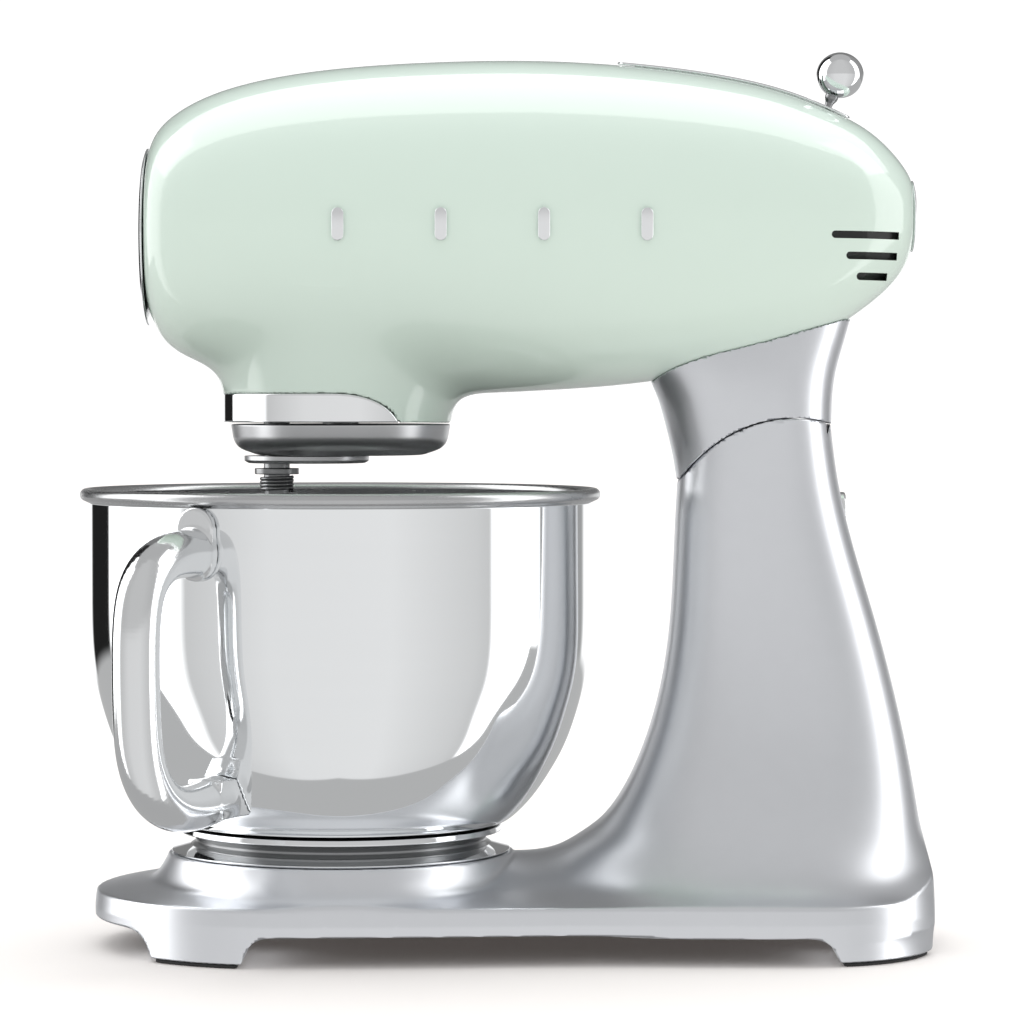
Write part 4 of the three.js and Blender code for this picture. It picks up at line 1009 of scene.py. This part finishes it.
# ------------------------------------------------------------------ pieces kept from the CAD model
def finish_kept_nodes():
    """Gives the CAD nodes that no piece replaces their materials: turned steel unless named here."""
    kept = {
        CAST: ("gear_case", "motor_chassis", "power_housing"),
        PLASTIC: (
            "base_cover", "vent_panel_left", "vent_panel_right", "brush_ring", "speed_track", "cooling_fan",
        ),
        WINDING: ("motor_armature",),
        BOARD: ("control_board",),
    }
    replaced = {name for obj in bpy.data.objects for name in obj.get("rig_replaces", [])}
    chosen = {name: material for material, names in kept.items() for name in names}
    for name, node in frame["nodes"].items():
        if name not in replaced:
            node.data.materials.clear()
            node.data.materials.append(chosen.get(name, STEEL))


# ------------------------------------------------------------------ floor, light and camera
FLOOR_HALF = 40  # metres
# The floor's faint warm glow is painted light that lifts the shadow under the base.
FLOOR_PAINTED_GLOW = 0.06


def make_floor():
    """Pale paper with a faint warm painted glow, which lifts the shadow under the base, and which polished
    pieces do not reflect.
    """
    corners = [(x * FLOOR_HALF, y * FLOOR_HALF, 0) for x, y in ((-1, -1), (1, -1), (1, 1), (-1, 1))]
    mesh = bpy.data.meshes.new("floor")
    mesh.from_pydata(corners, [], [(0, 1, 2, 3)])
    floor = bpy.data.objects.new("floor", mesh)
    bpy.context.scene.collection.objects.link(floor)
    paper = surface("floor_paper", "floor", (0.95, 0.925, 0.905), roughness=0.9, mottle=0.004, grain=60)
    shader = paper.node_tree.nodes["Principled BSDF"]
    # Painted light: a faint warm glow that brightens the shadow under the base.
    shader.inputs["Emission Color"].default_value = (1, 0.86, 0.80, 1)
    shader.inputs["Emission Strength"].default_value = FLOOR_PAINTED_GLOW
    floor.data.materials.append(paper)
    floor.visible_glossy = False


# What polished pieces reflect: brightness of the studio by degrees round from the camera's side,
# +X positive, near the horizon and higher up.
LOW_STUDIO = (
    (-180, 1.15), (-157, 1.15), (-154, 0.015), (-129, 0.015), (-126, 2.6), (-82, 2.6), (-72, 0.62),
    (-30, 0.80), (25, 0.82), (66, 0.66), (74, 0.60), (76, 2.6), (103, 2.6), (105, 0.33), (147, 0.36),
    (151, 1.15), (180, 1.15),
)
HIGH_STUDIO = (
    (-180, 0.22), (-157, 0.22), (-154, 0.015), (-129, 0.015), (-126, 2.6), (-82, 2.6), (-72, 0.55),
    (-30, 0.62), (25, 0.62), (66, 0.55), (74, 0.50), (76, 2.6), (103, 2.6), (105, 0.33), (147, 0.3),
    (151, 0.22), (180, 0.22),
)
CEILING_BRIGHTNESS = 0.5
TABLE_BRIGHTNESS = 0.47
TABLE_REACH = 0.49  # how far the table reaches toward the camera, as a share of the height over it
TABLE_NARROWING = 0.21  # and how much less it reaches to the sides
SKY_BRIGHTNESS = 0.85  # what lights matt surfaces
BACKDROP_BRIGHTNESS = 1.1  # what the camera sees
RAMP_SCALE = 4.0  # a colour ramp holds values up to 1 only
SUN_STRENGTH = 1.25
SOFTBOX_BRIGHTNESS = 2.3
SOFTBOX_SIZE = (5.0, 1.35)  # metres
SOFTBOX_HEIGHT = 1.65
CAMERA_LENS = 136.43
CAMERA_OFFSET = (0.075, -1.7, 0.239)  # metres from the bowl axis, at floor level
CAMERA_PITCH = 1.692  # degrees down


class Nodes:
    """Short ways to add nodes to one node tree."""

    def __init__(self, tree):
        self.tree = tree

    def add(self, kind, inputs=(), **settings):
        """A node with inputs as (name or number, socket or value) and other settings by name."""
        node = self.tree.nodes.new(kind)
        for key, value in settings.items():
            setattr(node, key, value)
        for slot_name, value in inputs:
            if isinstance(value, bpy.types.NodeSocket):
                self.tree.links.new(value, node.inputs[slot_name])
            else:
                node.inputs[slot_name].default_value = value
        return node

    def calculate(self, operation, *values):
        node = self.add("ShaderNodeMath", enumerate(values), operation=operation)
        return node.outputs[0]

    def step(self, value, start, end):
        """0 below start, 1 above end, smooth between."""
        inputs = [("Value", value), ("From Min", start), ("From Max", end)]
        node = self.add("ShaderNodeMapRange", inputs, interpolation_type="SMOOTHSTEP")
        return node.outputs["Result"]

    def mix(self, share, a, b):
        """From a to b as share goes from 0 to 1."""
        node = self.add("ShaderNodeMix", [("Factor", share), ("A", a), ("B", b)], data_type="FLOAT")
        return node.outputs["Result"]

    def ramp(self, share, stops):
        """Brightness by share of a full turn, from stops of (degrees from -180, brightness)."""
        node = self.add("ShaderNodeValToRGB", [("Fac", share)])
        elements = node.color_ramp.elements
        elements.remove(elements[1])
        for i, (degrees, value) in enumerate(stops):
            stop = elements[0] if i == 0 else elements.new((degrees + 180) / 360)
            stop.position = (degrees + 180) / 360
            stop.color = (*[value / RAMP_SCALE] * 3, 1)
        return self.calculate("MULTIPLY", node.outputs["Color"], RAMP_SCALE)


def studio_brightness(nodes):
    """What polished pieces reflect: walls by direction, a dimmer ceiling and the table underneath."""
    direction = nodes.add("ShaderNodeTexCoord").outputs["Generated"]
    parts = nodes.add("ShaderNodeSeparateXYZ", [("Vector", direction)]).outputs
    height = parts["Z"]
    toward = nodes.calculate("MULTIPLY", parts["Y"], -1.0)
    angle = nodes.calculate("ARCTAN2", parts["X"], toward)
    whole_turn = [("Value", angle), ("From Min", -math.pi), ("From Max", math.pi)]
    share = nodes.add("ShaderNodeMapRange", whole_turn).outputs["Result"]
    higher = nodes.step(height, 0.03, 0.12)
    walls = nodes.mix(higher, nodes.ramp(share, LOW_STUDIO), nodes.ramp(share, HIGH_STUDIO))

    down = nodes.calculate("MULTIPLY", height, -1.0)
    aside = nodes.calculate("ABSOLUTE", parts["X"])
    edge = nodes.calculate("MULTIPLY_ADD", down, TABLE_REACH, parts["Y"])
    edge = nodes.calculate("MULTIPLY_ADD", aside, -TABLE_NARROWING, edge)
    table = nodes.calculate("MULTIPLY", nodes.step(down, 0.10, 0.14), nodes.step(edge, -0.01, 0.01))
    walls = nodes.mix(table, walls, TABLE_BRIGHTNESS)

    above, behind = nodes.step(height, 0.79, 0.83), nodes.step(parts["Y"], -0.20, -0.15)
    ceiling = nodes.calculate("MULTIPLY", above, behind)
    return nodes.mix(ceiling, walls, CEILING_BRIGHTNESS)


def make_world():
    """An even sky for matt surfaces, a white backdrop for the camera and a studio for reflections."""
    world = bpy.data.worlds.new("studio")
    bpy.context.scene.world = world
    world.use_nodes = True
    nodes = Nodes(world.node_tree)
    rays = nodes.add("ShaderNodeLightPath").outputs
    light = nodes.mix(rays["Is Glossy Ray"], SKY_BRIGHTNESS, studio_brightness(nodes))
    light = nodes.mix(rays["Is Camera Ray"], light, BACKDROP_BRIGHTNESS)
    background = world.node_tree.nodes["Background"]
    background.inputs["Color"].default_value = (1, 1, 1, 1)
    world.node_tree.links.new(light, background.inputs["Strength"])


def make_sun():
    """Wide soft light from overhead, which polished pieces do not reflect."""
    data = bpy.data.lights.new("soft_overhead", "SUN")
    data.energy = SUN_STRENGTH
    data.angle = math.radians(70)
    sun = bpy.data.objects.new("soft_overhead", data)
    sun.rotation_euler = (math.radians(-10), math.radians(4), 0)
    sun.visible_glossy = False
    bpy.context.scene.collection.objects.link(sun)


def make_softbox():
    """A panel over the head that only the head's enamel reflects."""
    enamel = bpy.data.collections.new("enamel")
    enamel.objects.link(bpy.data.objects["head_body"])
    data = bpy.data.lights.new("head_softbox", "AREA")
    data.shape = "RECTANGLE"
    data.size, data.size_y = SOFTBOX_SIZE
    data.energy = SOFTBOX_BRIGHTNESS * math.pi * data.size * data.size_y
    softbox = bpy.data.objects.new("head_softbox", data)
    softbox.location = (BOWL_AXIS[0] + 0.1, BOWL_AXIS[1] + 0.18, SOFTBOX_HEIGHT)
    softbox.visible_diffuse = False
    softbox.visible_camera = False
    softbox.light_linking.receiver_collection = enamel
    bpy.context.scene.collection.objects.link(softbox)


def make_camera():
    data = bpy.data.cameras.new("camera")
    data.sensor_width = 36
    data.lens = CAMERA_LENS
    camera = bpy.data.objects.new("camera", data)
    camera.location = BOWL_AXIS + CAMERA_OFFSET
    camera.rotation_euler = (math.radians(90 - CAMERA_PITCH), 0, 0)
    bpy.context.scene.collection.objects.link(camera)
    bpy.context.scene.camera = camera


make_stand()
make_feet()
make_stand_details()
make_neck()
make_head()
make_head_trim()
make_lever()
make_drive()
make_bowl()
make_bowl_foot()
make_handle()
finish_kept_nodes()
make_floor()
make_world()
make_sun()
make_softbox()
make_camera()
bpy.context.scene.view_settings.view_transform = "Standard"
